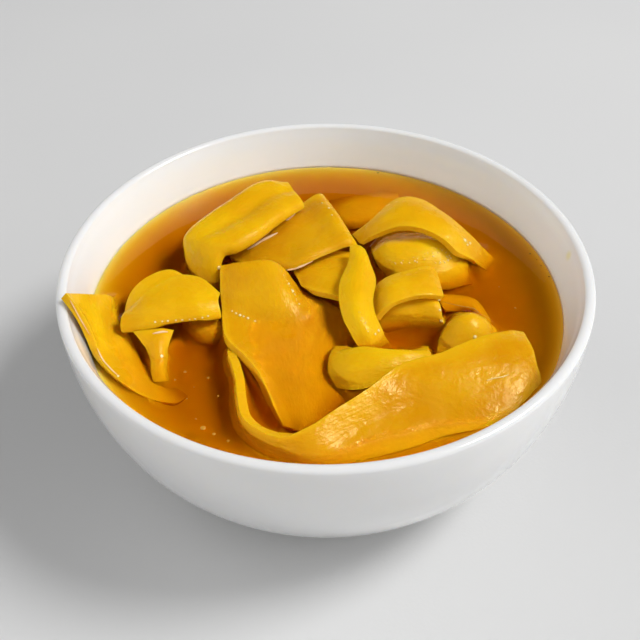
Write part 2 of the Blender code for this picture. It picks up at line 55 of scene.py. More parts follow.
MM = 0.001
bowl_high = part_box("bowl")[1]
broth_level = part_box("broth")[1].z
scene = bpy.context.scene
scene.view_settings.view_transform = "Standard"
scene.view_settings.look = "None"

CAMERA_LENS = 51.92
CAMERA_ELEVATION = 42.94
CAMERA_ROLL = -0.741
CAMERA_PLACE = Vector((-1.9, -229.9, 257.1)) * MM
TABLE_HALF = 3.0
TABLE_PAINT = (0.695, 0.695, 0.695), (0.71, 0.71, 0.708)

camera_data = bpy.data.cameras.new("camera")
camera_data.lens = CAMERA_LENS
camera = bpy.data.objects.new("camera", camera_data)
scene.collection.objects.link(camera)
scene.camera = camera
tilt = Matrix.Rotation(math.radians(90 - CAMERA_ELEVATION), 4, "X")
roll = Matrix.Rotation(math.radians(CAMERA_ROLL), 4, "Z")
camera.matrix_world = Matrix.Translation(CAMERA_PLACE) @ tilt @ roll


def make_piece(name, form, material):
    """An object of a bmesh form, smooth, with its material."""
    mesh = bpy.data.meshes.new(name)
    form.to_mesh(mesh)
    form.free()
    mesh.shade_smooth()
    mesh.materials.append(material)
    piece = bpy.data.objects.new(name, mesh)
    scene.collection.objects.link(piece)
    return piece


def new_material(name):
    """A node material, with its main shader and the place on the object."""
    material = bpy.data.materials.new(name)
    material.use_nodes = True
    nodes = material.node_tree.nodes
    return material, nodes["Principled BSDF"], nodes.new("ShaderNodeTexCoord").outputs["Object"]


def set_inputs(node, values):
    """Gives a node's inputs their plain values, or links them to other nodes' outputs."""
    for label, value in values.items():
        if isinstance(value, bpy.types.NodeSocket):
            node.id_data.links.new(value, node.inputs[label])
        else:
            node.inputs[label].default_value = value


def spread(value, low, high, at_low, at_high):
    """Maps a value's range from low to high onto another, smoothly and clamped."""
    ramp = value.id_data.nodes.new("ShaderNodeMapRange")
    ramp.interpolation_type = "SMOOTHSTEP"
    set_inputs(ramp, {
        "Value": value, "From Min": low, "From Max": high, "To Min": at_low, "To Max": at_high,
    })
    return ramp.outputs["Result"]


def combine(operation, first, second):
    """The sum, product or other outcome of two nodes' values."""
    outcome = first.id_data.nodes.new("ShaderNodeMath")
    outcome.operation = operation
    set_inputs(outcome, {0: first, 1: second})
    return outcome.outputs["Value"]


def blend_colours(mask, first, second):
    """A mix of two colours, each a plain one or another node's output."""
    tone = mask.id_data.nodes.new("ShaderNodeMix")
    tone.data_type = "RGBA"
    for label, colour in (("A", first), ("B", second)):
        set_inputs(tone, {label: (*colour, 1) if isinstance(colour, tuple) else colour})
    set_inputs(tone, {"Factor": mask})
    return tone.outputs["Result"]


def shader_group(name, numbers, gives, kind):
    """An effect shared by several materials, with named inputs and one named output."""
    group = bpy.data.node_groups.new(name, "ShaderNodeTree")
    group.interface.new_socket("Vector", in_out="INPUT", socket_type="NodeSocketVector")
    for label in numbers:
        group.interface.new_socket(label, in_out="INPUT", socket_type="NodeSocketFloat")
    group.interface.new_socket(gives, in_out="OUTPUT", socket_type=kind)
    given = group.nodes.new("NodeGroupInput").outputs
    grain = group.nodes.new("ShaderNodeTexNoise")
    set_inputs(grain, {label: given[label] for label in ("Vector", "Scale", "Detail")})
    return group, given, grain.outputs["Fac"], group.nodes.new("NodeGroupOutput")


def use_group(group, vector, **values):
    """Puts a shared effect in a material, with its inputs' values or links."""
    effect = vector.id_data.nodes.new("ShaderNodeGroup")
    effect.node_tree = group
    set_inputs(effect, {"Vector": vector, **values})
    return effect.outputs[0]


# Mottling: broad soft patches, as numbers from Low to High.
mottling, given, grain, result = shader_group(
    "mottling", ("Scale", "Detail", "Low", "High"), "Value", "NodeSocketFloat",
)
softened = spread(grain, 0.35, 0.65, 0.0, 1.0)
set_inputs(softened.node, {"To Min": given["Low"], "To Max": given["High"]})
set_inputs(result, {"Value": softened})

# Fine relief: a surface's small unevenness, added to any other Height.
fine_relief, given, grain, result = shader_group(
    "fine_relief", ("Scale", "Detail", "Height", "Strength", "Depth"), "Normal", "NodeSocketVector",
)
raised = fine_relief.nodes.new("ShaderNodeBump")
set_inputs(raised, {
    "Height": combine("ADD", grain, given["Height"]), "Strength": given["Strength"],
    "Distance": given["Depth"],
})
set_inputs(result, {"Normal": raised.outputs["Normal"]})

table_paint, shader, place = new_material("pale_table")
clouding = use_group(mottling, place, Scale=4, Detail=2, Low=0, High=1)
set_inputs(shader, {
    "Base Color": blend_colours(clouding, *TABLE_PAINT), "Roughness": 0.8,
    "Specular IOR Level": 0.1,
    "Normal": use_group(fine_relief, place, Scale=900, Detail=2, Strength=0.15, Depth=0.0002),
})
table_form = bmesh.new()
bmesh.ops.create_grid(table_form, x_segments=8, y_segments=8, size=TABLE_HALF)
table_top = make_piece("table_top", table_form, table_paint)

KEY_DIRECTION = Vector((0.6, 0.0, 0.8))
KEY_DISTANCE = 2.2
KEY_SIZE = 0.75
KEY_POWER = 29.0
bowl_middle = Vector((0.0, 0.0, bowl_high.z / 2))
key_light = bpy.data.lights.new("key_lamp", "AREA")
key_light.shape = "DISK"
key_light.size = KEY_SIZE
key_light.energy = KEY_POWER
key_lamp = bpy.data.objects.new("key_lamp", key_light)
scene.collection.objects.link(key_lamp)
key_lamp.location = bowl_middle + KEY_DIRECTION * KEY_DISTANCE
key_lamp.rotation_mode = "QUATERNION"
key_lamp.rotation_quaternion = (-KEY_DIRECTION).to_track_quat("-Z", "Y")

# The room's light comes from a few broad, soft directions. In the gloss the room is
# dimmer, and a dark cloth hangs behind, where the broth would mirror the back wall.
ROOM_LIGHTS = (
    ((0.0, 0.0, 1.0), 0.08),
    ((-0.77, 0.0, 0.64), 0.87),
    ((-0.99, 0.0, 0.1), 0.15),
    ((0.99, 0.0, 0.1), 0.95),
    ((0.0, 0.99, 0.1), 0.78),
    ((0.54, -0.54, 0.64), 0.57),
)
LIGHT_DEGREES = 55, 10
EVEN_LIGHT = 0.02
CLOTH_PLACE, CLOTH_DEGREES, CLOTH_SHADE = (0.0, 0.73, 0.68), (42, 22), 0.04
ROOM_IN_GLOSS = 0.10
room = bpy.data.worlds.new("room")
room.use_nodes = True
scene.world = room
sky = room.node_tree
direction = sky.nodes.new("ShaderNodeTexCoord").outputs["Generated"]


def patch(aim, degrees, outside, inside):
    """The room's brightness by direction: one value outside a cone, another well inside it."""
    facing = sky.nodes.new("ShaderNodeVectorMath")
    facing.operation = "DOT_PRODUCT"
    set_inputs(facing, {0: direction, 1: Vector(aim).normalized()})
    outer, inner = (math.cos(math.radians(angle)) for angle in degrees)
    return spread(facing.outputs["Value"], outer, inner, outside, inside)


brightness = patch((0, 0, 1), (180, 0), EVEN_LIGHT, EVEN_LIGHT)
for aim, strength in ROOM_LIGHTS:
    brightness = combine("ADD", brightness, patch(aim, LIGHT_DEGREES, 0.0, strength))
cloth = patch(CLOTH_PLACE, CLOTH_DEGREES, 1.0, CLOTH_SHADE)
brightness = combine("MULTIPLY", brightness, cloth)
in_gloss = sky.nodes.new("ShaderNodeLightPath").outputs["Is Glossy Ray"]
dimmer = spread(in_gloss, 0.0, 1.0, 1.0, ROOM_IN_GLOSS)
set_inputs(sky.nodes["Background"], {
    "Color": (1, 1, 1, 1), "Strength": combine("MULTIPLY", brightness, dimmer),
})

# ------------------------------------------------------------------ bowl
# A thrown and glazed porcelain bowl: a wall of 6 mm that thins to a rounded 3.4 mm
# lip, and a turned foot ring. The glaze is a smooth, slightly warm white with faint
# pooling; a speck of broth has dried on the inner wall at the right.

BODY_DEPTH = 67.4
BASE_RADIUS = 35.9
FULLNESS = 2.135
LIP_THICKNESS = 3.4
LIP_CROWN = 1.2
LIP_SHOULDER = 0.9
WALL_THICKNESS = 6.2
WALL_FULL_AT = 15.0
WALL_POINTS = 48
FOOT_OUTER_RADIUS = 33.0
FOOT_INNER_RADIUS = 28.0
FOOT_ROUND = 0.8
FOOT_TAPERS = 0.9, 0.6
TURN_STEPS = 192
GLAZE_THIN, GLAZE_THICK = (0.905, 0.905, 0.898), (0.93, 0.928, 0.92)
SPECK_PLACE = Vector((80.0, 5.9, 65.2))
SPECK_EDGE = 0.0003, 0.0024
SPECK_STRENGTH = 0.9
SPECK_COLOUR = (0.88, 0.85, 0.58)
rim_radius_mm = bowl_high.x / MM
rim_height_mm = bowl_high.z / MM - LIP_CROWN + LIP_SHOULDER


def outer_wall(turn):
    """The outer curve in mm, from the rim at 0 to the base at a right angle."""
    across = math.cos(turn) ** (2 / FULLNESS)
    down = math.sin(turn) ** (2 / FULLNESS)
    return (
        BASE_RADIUS + (rim_radius_mm - BASE_RADIUS) * across,
        rim_height_mm - BODY_DEPTH * down,
    )


def inner_wall(turn):
    """The outer curve set in by the wall's thickness."""
    step = 0.001
    before = outer_wall(max(turn - step, 0.0))
    after = outer_wall(min(turn + step, math.pi / 2))
    run = Vector((after[0] - before[0], after[1] - before[1])).normalized()
    radius, height = outer_wall(turn)
    depth = min((rim_height_mm - height) / WALL_FULL_AT, 1.0)
    growth = depth * (2.0 - depth)
    thickness = LIP_THICKNESS + (WALL_THICKNESS - LIP_THICKNESS) * growth
    return radius + run.y * thickness, height - run.x * thickness


def arc(centre, radius, start, end, points=6, squeeze=1.0):
    """Points along a round, from one angle in degrees to another."""
    turns = [math.radians(start + (end - start) * i / points) for i in range(points + 1)]
    return [
        (centre[0] + radius * math.cos(a), centre[1] + squeeze * radius * math.sin(a))
        for a in turns
    ]


quarter = [math.pi / 2 * i / WALL_POINTS for i in range(WALL_POINTS + 1)]
lip_base = rim_height_mm - LIP_SHOULDER
inside = [(rim_radius_mm - LIP_THICKNESS, lip_base)] + [inner_wall(turn) for turn in quarter[1:]]
outside = [(rim_radius_mm, lip_base)] + [outer_wall(turn) for turn in quarter[1:]]
half_lip = LIP_THICKNESS / 2
lip = arc((rim_radius_mm - half_lip, lip_base), half_lip, 170, 10, 16, LIP_CROWN / half_lip)
base_height = rim_height_mm - BODY_DEPTH
foot = (
    [(FOOT_OUTER_RADIUS + FOOT_TAPERS[0], base_height)]
    + arc((FOOT_OUTER_RADIUS - FOOT_ROUND, FOOT_ROUND), FOOT_ROUND, 0, -90)
    + arc((FOOT_INNER_RADIUS + FOOT_ROUND, FOOT_ROUND), FOOT_ROUND, -90, -180)
    + [(FOOT_INNER_RADIUS - FOOT_TAPERS[1], base_height), (0.0, base_height)]
)
profile = [(0.0, inside[-1][1])] + inside[::-1] + lip + outside + foot
bowl_mesh = bpy.data.meshes.new("glazed_bowl")
corners = [(radius * MM, 0.0, height * MM) for radius, height in profile]
bowl_mesh.from_pydata(corners, [(i, i + 1) for i in range(len(corners) - 1)], [])
bowl = bpy.data.objects.new("glazed_bowl", bowl_mesh)
scene.collection.objects.link(bowl)
screw = bowl.modifiers.new("Turn", "SCREW")
screw.steps = screw.render_steps = TURN_STEPS
screw.use_merge_vertices = True
screw.merge_threshold = 0.000001
screw.use_smooth_shade = True

glaze, shader, place = new_material("white_glaze")
pooling = use_group(mottling, place, Scale=22, Detail=3, Low=0, High=1)
from_speck = glaze.node_tree.nodes.new("ShaderNodeVectorMath")
from_speck.operation = "DISTANCE"
set_inputs(from_speck, {0: place, 1: SPECK_PLACE * MM})
dried = spread(from_speck.outputs["Value"], *SPECK_EDGE, SPECK_STRENGTH, 0.0)
white = blend_colours(pooling, GLAZE_THIN, GLAZE_THICK)
set_inputs(shader, {
    "Base Color": blend_colours(dried, white, SPECK_COLOUR), "Roughness": 0.16, "IOR": 1.5,
    "Coat Weight": 0.4, "Coat Roughness": 0.05,
    "Subsurface Weight": 0.4, "Subsurface Radius": (1.0, 0.9, 0.75), "Subsurface Scale": 0.006,
    "Normal": use_group(fine_relief, place, Scale=60, Detail=2, Strength=0.05, Depth=0.001),
})
bowl_mesh.materials.append(glaze)
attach(bowl, "root")
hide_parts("bowl")

# ------------------------------------------------------------------ dough strips
# Sheets of egg dough, rolled 2 to 2.8 mm thick, cut in strips and squares, folded and
# boiled until soft and golden. Each lies over ribs: lines across the sheet from one cut
# edge to the other, in mm, with heights measured from the broth's level.

UP = Vector((0.0, 0.0, 1.0))
DOUGH_THICKNESS = 2.4
FOLDED_THICKNESS = 2.0
LOOP_THICKNESS = 2.8
FOLD_ROUND = 2.3
UPRIGHT_PIECES = 5
EDGE_ROUND = 0.46
RELIEF_LENGTH = 7.0
SHEET_MAP_SIZE = 20.0
DEEP_YOLK, PALE_YOLK = (0.70, 0.27, 0.002), (0.97, 0.56, 0.005)
SOAKED, SWOLLEN, DIMMED = (0.74, 0.31, 0.003), (0.88, 0.42, 0.005), (0.58, 0.20, 0.003)
# The edge colour is a painted glow: light caught by the thin cut edges.
EDGE_PAINTED_GLOW, EDGE_GLOW_BAND = (0.93, 0.52, 0.008), (0.4, 3.0)
SOAKED_BAND, SWOLLEN_BAND = (-1.0, 5.0), (-3.0, -1.0)
DIMMED_BAND, UNDER_BAND = (-6.2, -2.5), (-0.5, 0.3)
FAINT_BOUNCE = (0.72, 0.62, 0.42)


class Rib:
    """A line across a sheet. It stands out from the straight line by `rise` in its
    middle, or by several rises evenly along it, towards `facing`."""

    def __init__(self, left, right, rise, facing=UP):
        left, right = Vector(left), Vector(right)
        self.facing = Vector(facing).normalized()
        rises = rise if isinstance(rise, tuple) else (rise,)
        self.points = [left]
        for place, lift in enumerate(rises, 1):
            spot = left.lerp(right, place / (len(rises) + 1))
            self.points.append(spot + self.outward(right - left) * lift)
        self.points.append(right)

    def outward(self, along):
        along = along.normalized()
        return (self.facing - along * self.facing.dot(along)).normalized()

    def skirt(self, reach, drop):
        """Carries the left edge on, outwards by a reach and inwards by a drop."""
        away = self.points[0] - self.points[1]
        away -= self.facing * away.dot(self.facing)
        hem = self.points[0] + away.normalized() * reach - self.facing * drop
        self.points.insert(0, hem)
        return self

    def roll(self, radius, degrees, pieces=2):
        """Rolls the right edge under, in a round of the given radius."""
        edge = self.points[-1]
        ahead = (edge - self.points[-2]).normalized()
        out = self.outward(ahead)
        for piece in range(1, pieces + 1):
            angle = math.radians(degrees) * piece / pieces
            forward = ahead * radius * math.sin(angle)
            self.points.append(edge + forward - out * radius * (1 - math.cos(angle)))


def line(*points):
    """A rib through the given points."""
    rib = Rib(points[0], points[-1], 0.0)
    rib.points = [Vector(point) for point in points]
    return rib


def between(top, bottom, pieces=UPRIGHT_PIECES):
    """A straight rib cut in even pieces."""
    top, bottom = Vector(top), Vector(bottom)
    return line(*[top.lerp(bottom, piece / pieces) for piece in range(pieces + 1)])


def folded(top, nose, under, radius=FOLD_ROUND):
    """A rib of a sheet folded back on itself: top flap, round nose, under flap."""
    top, nose, under = Vector(top), Vector(nose), Vector(under)
    rib = Rib(top, under, 0.0)
    centre = nose + (rib.points[1] - nose).normalized() * radius
    above, below = centre + UP * radius, centre - UP * radius
    rib.points = [
        top, (top + above) / 2 + UP * 0.4, above, nose, below, (below + under) / 2, under,
    ]
    return rib


def smooth_point(points, place):
    """A point on the smooth curve through the given ones, at place 0 to len - 1."""
    last = len(points) - 1
    start = min(int(place), last - 1)
    part = place - start
    here, after = points[start], points[start + 1]
    before = points[start - 1] if start > 0 else here * 2 - after
    beyond = points[start + 2] if start + 2 <= last else after * 2 - here
    gap_before = math.sqrt((here - before).length)
    gap = math.sqrt((after - here).length)
    gap_beyond = math.sqrt((beyond - after).length)
    step = (after - here) / gap
    slope_here = (here - before) / gap_before - (after - before) / (gap_before + gap) + step
    slope_after = step - (beyond - here) / (gap + gap_beyond) + (beyond - after) / gap_beyond
    rest = 1.0 - part
    return (
        here * (1 + 2 * part) * rest ** 2
        + after * part ** 2 * (3 - 2 * part)
        + slope_here * gap * part * rest ** 2
        - slope_after * gap * part ** 2 * rest
    )


dough_pieces = []


def dough_sheet(
    name, ribs, node=None, thickness=DOUGH_THICKNESS, spans=(8, 6), relief=0.22, tone=0.5,
):
    """A sheet over its ribs, with soft uneven relief, a tone from deep (0) to pale
    (1), or several tones from its first rib to its last, and a map of its distance from
    the cut edge, both for the dough's colour. The tone is partly painted light: paler
    where a piece lies in shade, deeper where the lamp strikes it hard."""
    tones = tone if isinstance(tone, tuple) else (tone, tone)
    along, across = len(ribs) - 1, len(ribs[0].points) - 1
    cage = bmesh.new()
    bmesh.ops.create_grid(
        cage, x_segments=across * spans[1], y_segments=along * spans[0], size=1.0,
    )
    cage.verts.ensure_lookup_table()
    seed = Vector((len(name) * 3.7, len(dough_pieces) * 5.3, 0.0))
    flat = [((corner.co.x + 1) / 2, (corner.co.y + 1) / 2) for corner in cage.verts]
    for corner, (u, v) in zip(cage.verts, flat):
        corner.co = smooth_point([smooth_point(rib.points, u * across) for rib in ribs], v * along)
    cage.normal_update()
    middle = ribs[along // 2].points
    width = sum((b - a).length for a, b in zip(middle, middle[1:]))
    length = sum((b.points[1] - a.points[1]).length for a, b in zip(ribs, ribs[1:]))
    cut_distance = cage.verts.layers.float.new("cut_distance")
    tone_and_painted_light = cage.verts.layers.float.new("tone_and_painted_light")
    sheet_map = cage.loops.layers.uv.new("sheet")
    moved = []
    for corner, (u, v) in zip(cage.verts, flat):
        soft = noise.fractal(corner.co / RELIEF_LENGTH + seed, 1.0, 2.0, 3)
        moved.append(corner.co + corner.normal * soft * relief)
        corner[tone_and_painted_light] = np.interp(v, np.linspace(0, 1, len(tones)), tones)
        corner[cut_distance] = min(u * width, (1 - u) * width, v * length, (1 - v) * length)
    for face in cage.faces:
        for loop in face.loops:
            u, v = flat[loop.vert.index]
            loop[sheet_map].uv = (u * width / SHEET_MAP_SIZE, v * length / SHEET_MAP_SIZE)
    for corner, spot in zip(cage.verts, moved):
        corner.co = (spot + UP * broth_level / MM) * MM
    sheet = make_piece(name, cage, dough_material)
    solidify = sheet.modifiers.new("Thickness", "SOLIDIFY")
    solidify.thickness = thickness * MM
    solidify.offset = 0.0
    solidify.use_even_offset = True
    bevel = sheet.modifiers.new("Soft edge", "BEVEL")
    bevel.width = thickness * EDGE_ROUND * MM
    bevel.segments = 4
    bevel.limit_method = "ANGLE"
    bevel.angle_limit = math.radians(50)
    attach(sheet, "root")
    if node:
        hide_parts(node)
    dough_pieces.append(sheet)


def measured(material, name):
    """A value that the mesh carries at each of its corners."""
    attribute = material.node_tree.nodes.new("ShaderNodeAttribute")
    attribute.attribute_name = name
    return attribute.outputs["Fac"]


def by_height(low, high, at_low):
    """A value by the height from the broth's level in mm, falling to none."""
    return spread(height, broth_level + low * MM, broth_level + high * MM, at_low, 0.0)


dough_material, shader, place = new_material("cooked_egg_dough")
nodes = dough_material.node_tree.nodes

# Deep and pale yolk by the sheet's tone, which is partly painted light, and some
# mottling; darker where broth has soaked in near its level; a painted glow along the cut
# edges, where the thin dough catches the light; deeper in the broth, dimmer. The
# light that the dough throws on its neighbours is fainter than its own colour.
tone = measured(dough_material, "tone_and_painted_light")
uneven = use_group(mottling, place, Scale=55, Detail=3, Low=-0.16, High=0.16)
yolk = blend_colours(combine("ADD", tone, uneven), DEEP_YOLK, PALE_YOLK)
split = nodes.new("ShaderNodeSeparateXYZ")
set_inputs(split, {"Vector": place})
height = split.outputs["Z"]
takes_up = spread(tone, 0.35, 1.05, 1.0, 0.35)
low_down = combine("MULTIPLY", by_height(*SOAKED_BAND, 0.75), takes_up)
soaked = blend_colours(low_down, yolk, SOAKED)
# Painted glow: paler colour along the cut edges stands in for light the thin edges catch.
edge_glow_mask = spread(measured(dough_material, "cut_distance"), *EDGE_GLOW_BAND, 0.65, 0.0)
painted_edge_glow = blend_colours(edge_glow_mask, soaked, EDGE_PAINTED_GLOW)
swollen = blend_colours(by_height(*SWOLLEN_BAND, 0.9), painted_edge_glow, SWOLLEN)
dimmed = blend_colours(by_height(*DIMMED_BAND, 1.0), swollen, DIMMED)
bounce = nodes.new("ShaderNodeLightPath").outputs["Is Diffuse Ray"]
weaker = spread(bounce, 0.0, 1.0, 0.0, 0.6)
wet_gloss = use_group(mottling, place, Scale=140, Detail=2, Low=0.2, High=0.32)

# The roller's faint streaks run along the sheet, over the dimples of the boiled skin.
sheet_place = nodes.new("ShaderNodeUVMap")
sheet_place.uv_map = "sheet"
stretched = nodes.new("ShaderNodeMapping")
set_inputs(stretched, {"Vector": sheet_place.outputs["UV"], "Scale": (26, 9, 1)})
streaks = nodes.new("ShaderNodeTexNoise")
set_inputs(streaks, {"Vector": stretched.outputs["Vector"], "Scale": 1.0})
skin = use_group(
    fine_relief, place, Scale=420, Detail=3, Height=streaks.outputs["Fac"], Strength=0.6,
    Depth=0.0003,
)
set_inputs(shader, {
    "Base Color": blend_colours(weaker, dimmed, FAINT_BOUNCE),
    "Roughness": combine("MAXIMUM", wet_gloss, by_height(*UNDER_BAND, 1.0)),
    "IOR": 1.38, "Specular IOR Level": 0.5, "Specular Tint": (1.0, 0.86, 0.45, 1),
    "Subsurface Weight": 0.5, "Subsurface Radius": (1.0, 0.6, 0.1), "Subsurface Scale": 0.0025,
    "Normal": skin,
})

dough_sheet("left_rim_strip", [
    line((-79.8, -18.6, 18.7), (-77.1, -11.9, 12.9), (-75.8, -5.6, 7.0),
         (-72.4, 0.0, 1.6), (-71.8, 2.7, -2.2)),
    line((-74.5, -24.6, 15.2), (-74.6, -19.1, 9.4), (-73.0, -13.3, 4.4),
         (-71.3, -8.3, 0.2), (-69.6, -5.8, -3.0)),
    line((-72.0, -26.5, 7.4), (-72.1, -23.5, 5.0), (-70.9, -20.4, 2.4),
         (-69.6, -17.5, 0.0), (-64.0, -15.0, -3.0)),
    line((-70.3, -29.7, 2.4), (-69.0, -28.7, 1.8), (-67.9, -27.3, 0.8),
         (-66.4, -25.7, -0.4), (-60.6, -22.2, -4.0)),
    line((-66.5, -34.0, 0.6), (-65.3, -33.9, 0.5), (-63.9, -33.5, 0.0),
         (-62.2, -32.1, -1.0), (-57.7, -27.7, -4.8)),
    line((-62.5, -37.5, -0.7), (-61.1, -37.4, -0.8), (-59.4, -36.6, -1.2),
         (-57.6, -35.3, -2.2), (-53.8, -30.3, -6.2)),
    line((-57.7, -40.9, -2.0), (-56.0, -40.3, -2.2), (-54.4, -39.0, -2.8),
         (-52.8, -36.9, -4.2), (-49.8, -31.7, -8.0)),
    line((-52.2, -43.3, -3.4), (-50.5, -42.6, -3.8), (-49.0, -41.1, -4.6),
         (-47.3, -38.5, -6.2), (-45.1, -33.8, -9.5)),
    line((-46.3, -43.7, -5.4), (-45.0, -42.8, -6.0), (-43.8, -41.1, -7.0),
         (-42.4, -38.3, -8.8), (-40.9, -34.2, -11.5)),
], "rim_strip", spans=(8, 8), tone=(0.95, 0.9, 0.7, 0.6))

dough_sheet("left_fold_sheet", [
    folded((-63.0, -11.0, 4.2), (-65.0, -15.5, 1.8), (-65.5, -9.5, -0.6)),
    folded((-59.5, -9.0, 7.2), (-57.0, -17.1, 3.8), (-63.6, 0.0, 3.2)),
    folded((-53.5, -3.2, 8.8), (-49.4, -15.5, 5.2), (-58.1, 5.9, 5.0)),
    folded((-47.5, 1.2, 8.8), (-40.6, -14.0, 5.4), (-51.4, 8.4, 5.0)),
    folded((-41.0, 0.8, 7.8), (-37.6, -13.5, 4.8), (-45.5, 4.7, 3.2)),
    folded((-34.5, -5.5, 6.2), (-33.9, -11.9, 4.2), (-38.5, -1.7, 1.2)),
], "left_fold", FOLDED_THICKNESS, spans=(8, 5), tone=0.8)

dough_sheet("left_fold_tail", [
    line((-61.0, -17.5, 1.4), (-57.1, -17.7, 2.2), (-52.6, -17.5, 2.4), (-48.8, -16.6, 1.1)),
    line((-58.4, -20.8, 1.2), (-55.4, -21.0, 2.2), (-52.2, -20.8, 2.4), (-49.6, -19.4, 0.8)),
    line((-55.6, -24.3, 0.2), (-53.7, -24.9, 1.2), (-51.9, -24.5, 1.2), (-50.5, -23.1, -0.2)),
    line((-54.3, -27.8, -1.2), (-52.8, -28.0, -0.6), (-51.5, -27.9, -0.7), (-50.5, -26.8, -1.8)),
    line((-53.7, -32.2, -2.0), (-52.4, -32.6, -1.6), (-51.2, -32.5, -1.7), (-50.1, -31.3, -3.0)),
    line((-52.8, -35.3, -3.2), (-51.4, -35.7, -2.9), (-50.1, -35.5, -3.1), (-49.3, -34.0, -4.7)),
], "left_tail", FOLDED_THICKNESS, spans=(8, 10), tone=0.7)

leftward, slanting = (-0.62, -0.62, 0.3), (-0.4, -0.4, 0.8)
back_fold_ribs = [
    Rib((-46.5, 18.5, -4.0), (-38.5, 8.5, -4.0), (0.8, 1.0, 0.8), leftward).skirt(2.0, 2.0),
    Rib((-47.5, 20.0, 4.0), (-38.5, 10.0, 4.0), (1.0, 1.3, 1.0), leftward).skirt(2.5, 3.0),
    Rib((-47.5, 22.5, 8.0), (-36.5, 14.0, 9.0), (0.7, 0.9, 0.9), slanting).skirt(3.0, 6.0),
    Rib((-43.5, 29.5, 9.0), (-30.5, 17.0, 10.5), (0.7, 0.0, 0.9)).skirt(3.0, 12.0),
    Rib((-33.5, 40.5, 10.0), (-23.0, 24.0, 11.0), (0.6, -0.9, 0.3)).skirt(3.0, 13.0),
    Rib((-22.5, 52.0, 10.0), (-16.0, 33.0, 11.0), (0.6, -0.4, 0.2)).skirt(3.0, 13.0),
    Rib((-13.5, 54.0, 8.0), (-8.5, 42.5, 9.0), (0.6, 0.3, 0.4)).skirt(3.0, 11.0),
]
for rib, degrees in zip(back_fold_ribs, (120, 130, 140, 150, 150, 130, 90)):
    rib.roll(1.7, degrees, 3)
dough_sheet(
    "back_fold_sheet", back_fold_ribs, "back_fold", FOLDED_THICKNESS, spans=(10, 8),
    tone=(1.0, 1.0, 0.7, 0.7, 0.85),
)

back_strip_ribs = [
    Rib((1.0, 50.5, 2.6), (10.5, 21.5, 4.6), (0.6, 0.8, 0.5)),
    Rib((-1.5, 49.5, 6.0), (8.5, 20.5, 8.0), (0.6, 0.9, 0.5)),
    Rib((-7.0, 46.5, 4.4), (2.0, 18.0, 7.4), (0.3, 0.2, 0.0)),
    Rib((-14.0, 38.0, 4.2), (-5.5, 13.5, 7.0), (0.2, -0.2, -0.4)),
    Rib((-21.5, 30.0, 2.6), (-12.0, 11.5, 5.4), (0.2, 0.0, -0.3)),
    Rib((-28.0, 26.0, 1.0), (-20.5, 16.0, 3.0), (0.0, 0.0, 0.0)),
    Rib((-33.0, 22.0, -1.0), (-28.0, 17.0, 0.5), (0.0, 0.0, 0.0)),
]
for rib in back_strip_ribs:
    rib.roll(1.6, 80)
dough_sheet(
    "back_strip_sheet", back_strip_ribs, "back_strip", FOLDED_THICKNESS, spans=(10, 8),
    tone=(0.9, 0.5, 0.3, 0.3, 0.3),
)

dough_sheet("middle_strip_sheet", [
    Rib((-12.5, 16.5, 0.6), (-7.5, 4.0, 1.2), 0.3),
    Rib((-8.0, 18.0, 1.6), (-4.5, 0.5, 2.2), 0.4),
    Rib((-1.0, 19.5, 2.4), (1.0, -2.5, 2.8), 0.6),
    Rib((6.5, 19.5, 2.8), (6.5, -4.5, 3.0), 0.8),
    Rib((11.5, 19.0, 2.4), (10.5, -3.0, 2.6), 0.8),
], "middle_strip", spans=(8, 14), tone=0.55)

dough_sheet("hanging_ribbon_sheet", [
    line((8.9, 15.7, 8.0), (11.3, 15.5, 8.6), (13.3, 14.0, 8.0)),
    line((8.4, 9.0, 7.4), (11.7, 8.0, 8.6), (14.7, 7.5, 7.2)),
    line((5.1, -0.8, 6.6), (10.3, -2.0, 8.0), (16.1, 1.7, 5.6)),
    line((4.6, -8.5, 5.6), (9.7, -10.1, 7.0), (14.7, -6.8, 4.4)),
    line((5.7, -15.5, 4.2), (10.7, -16.9, 5.4), (15.4, -13.2, 2.8)),
    line((7.9, -20.4, 2.4), (12.8, -20.6, 3.2), (17.2, -17.2, 1.0)),
    line((10.0, -22.2, -0.4), (14.0, -21.8, 0.0), (18.2, -18.2, -1.4)),
    line((12.2, -21.6, -3.2), (15.6, -21.2, -3.0), (19.4, -18.2, -4.0)),
], "hanging_ribbon", spans=(8, 12), tone=0.85)

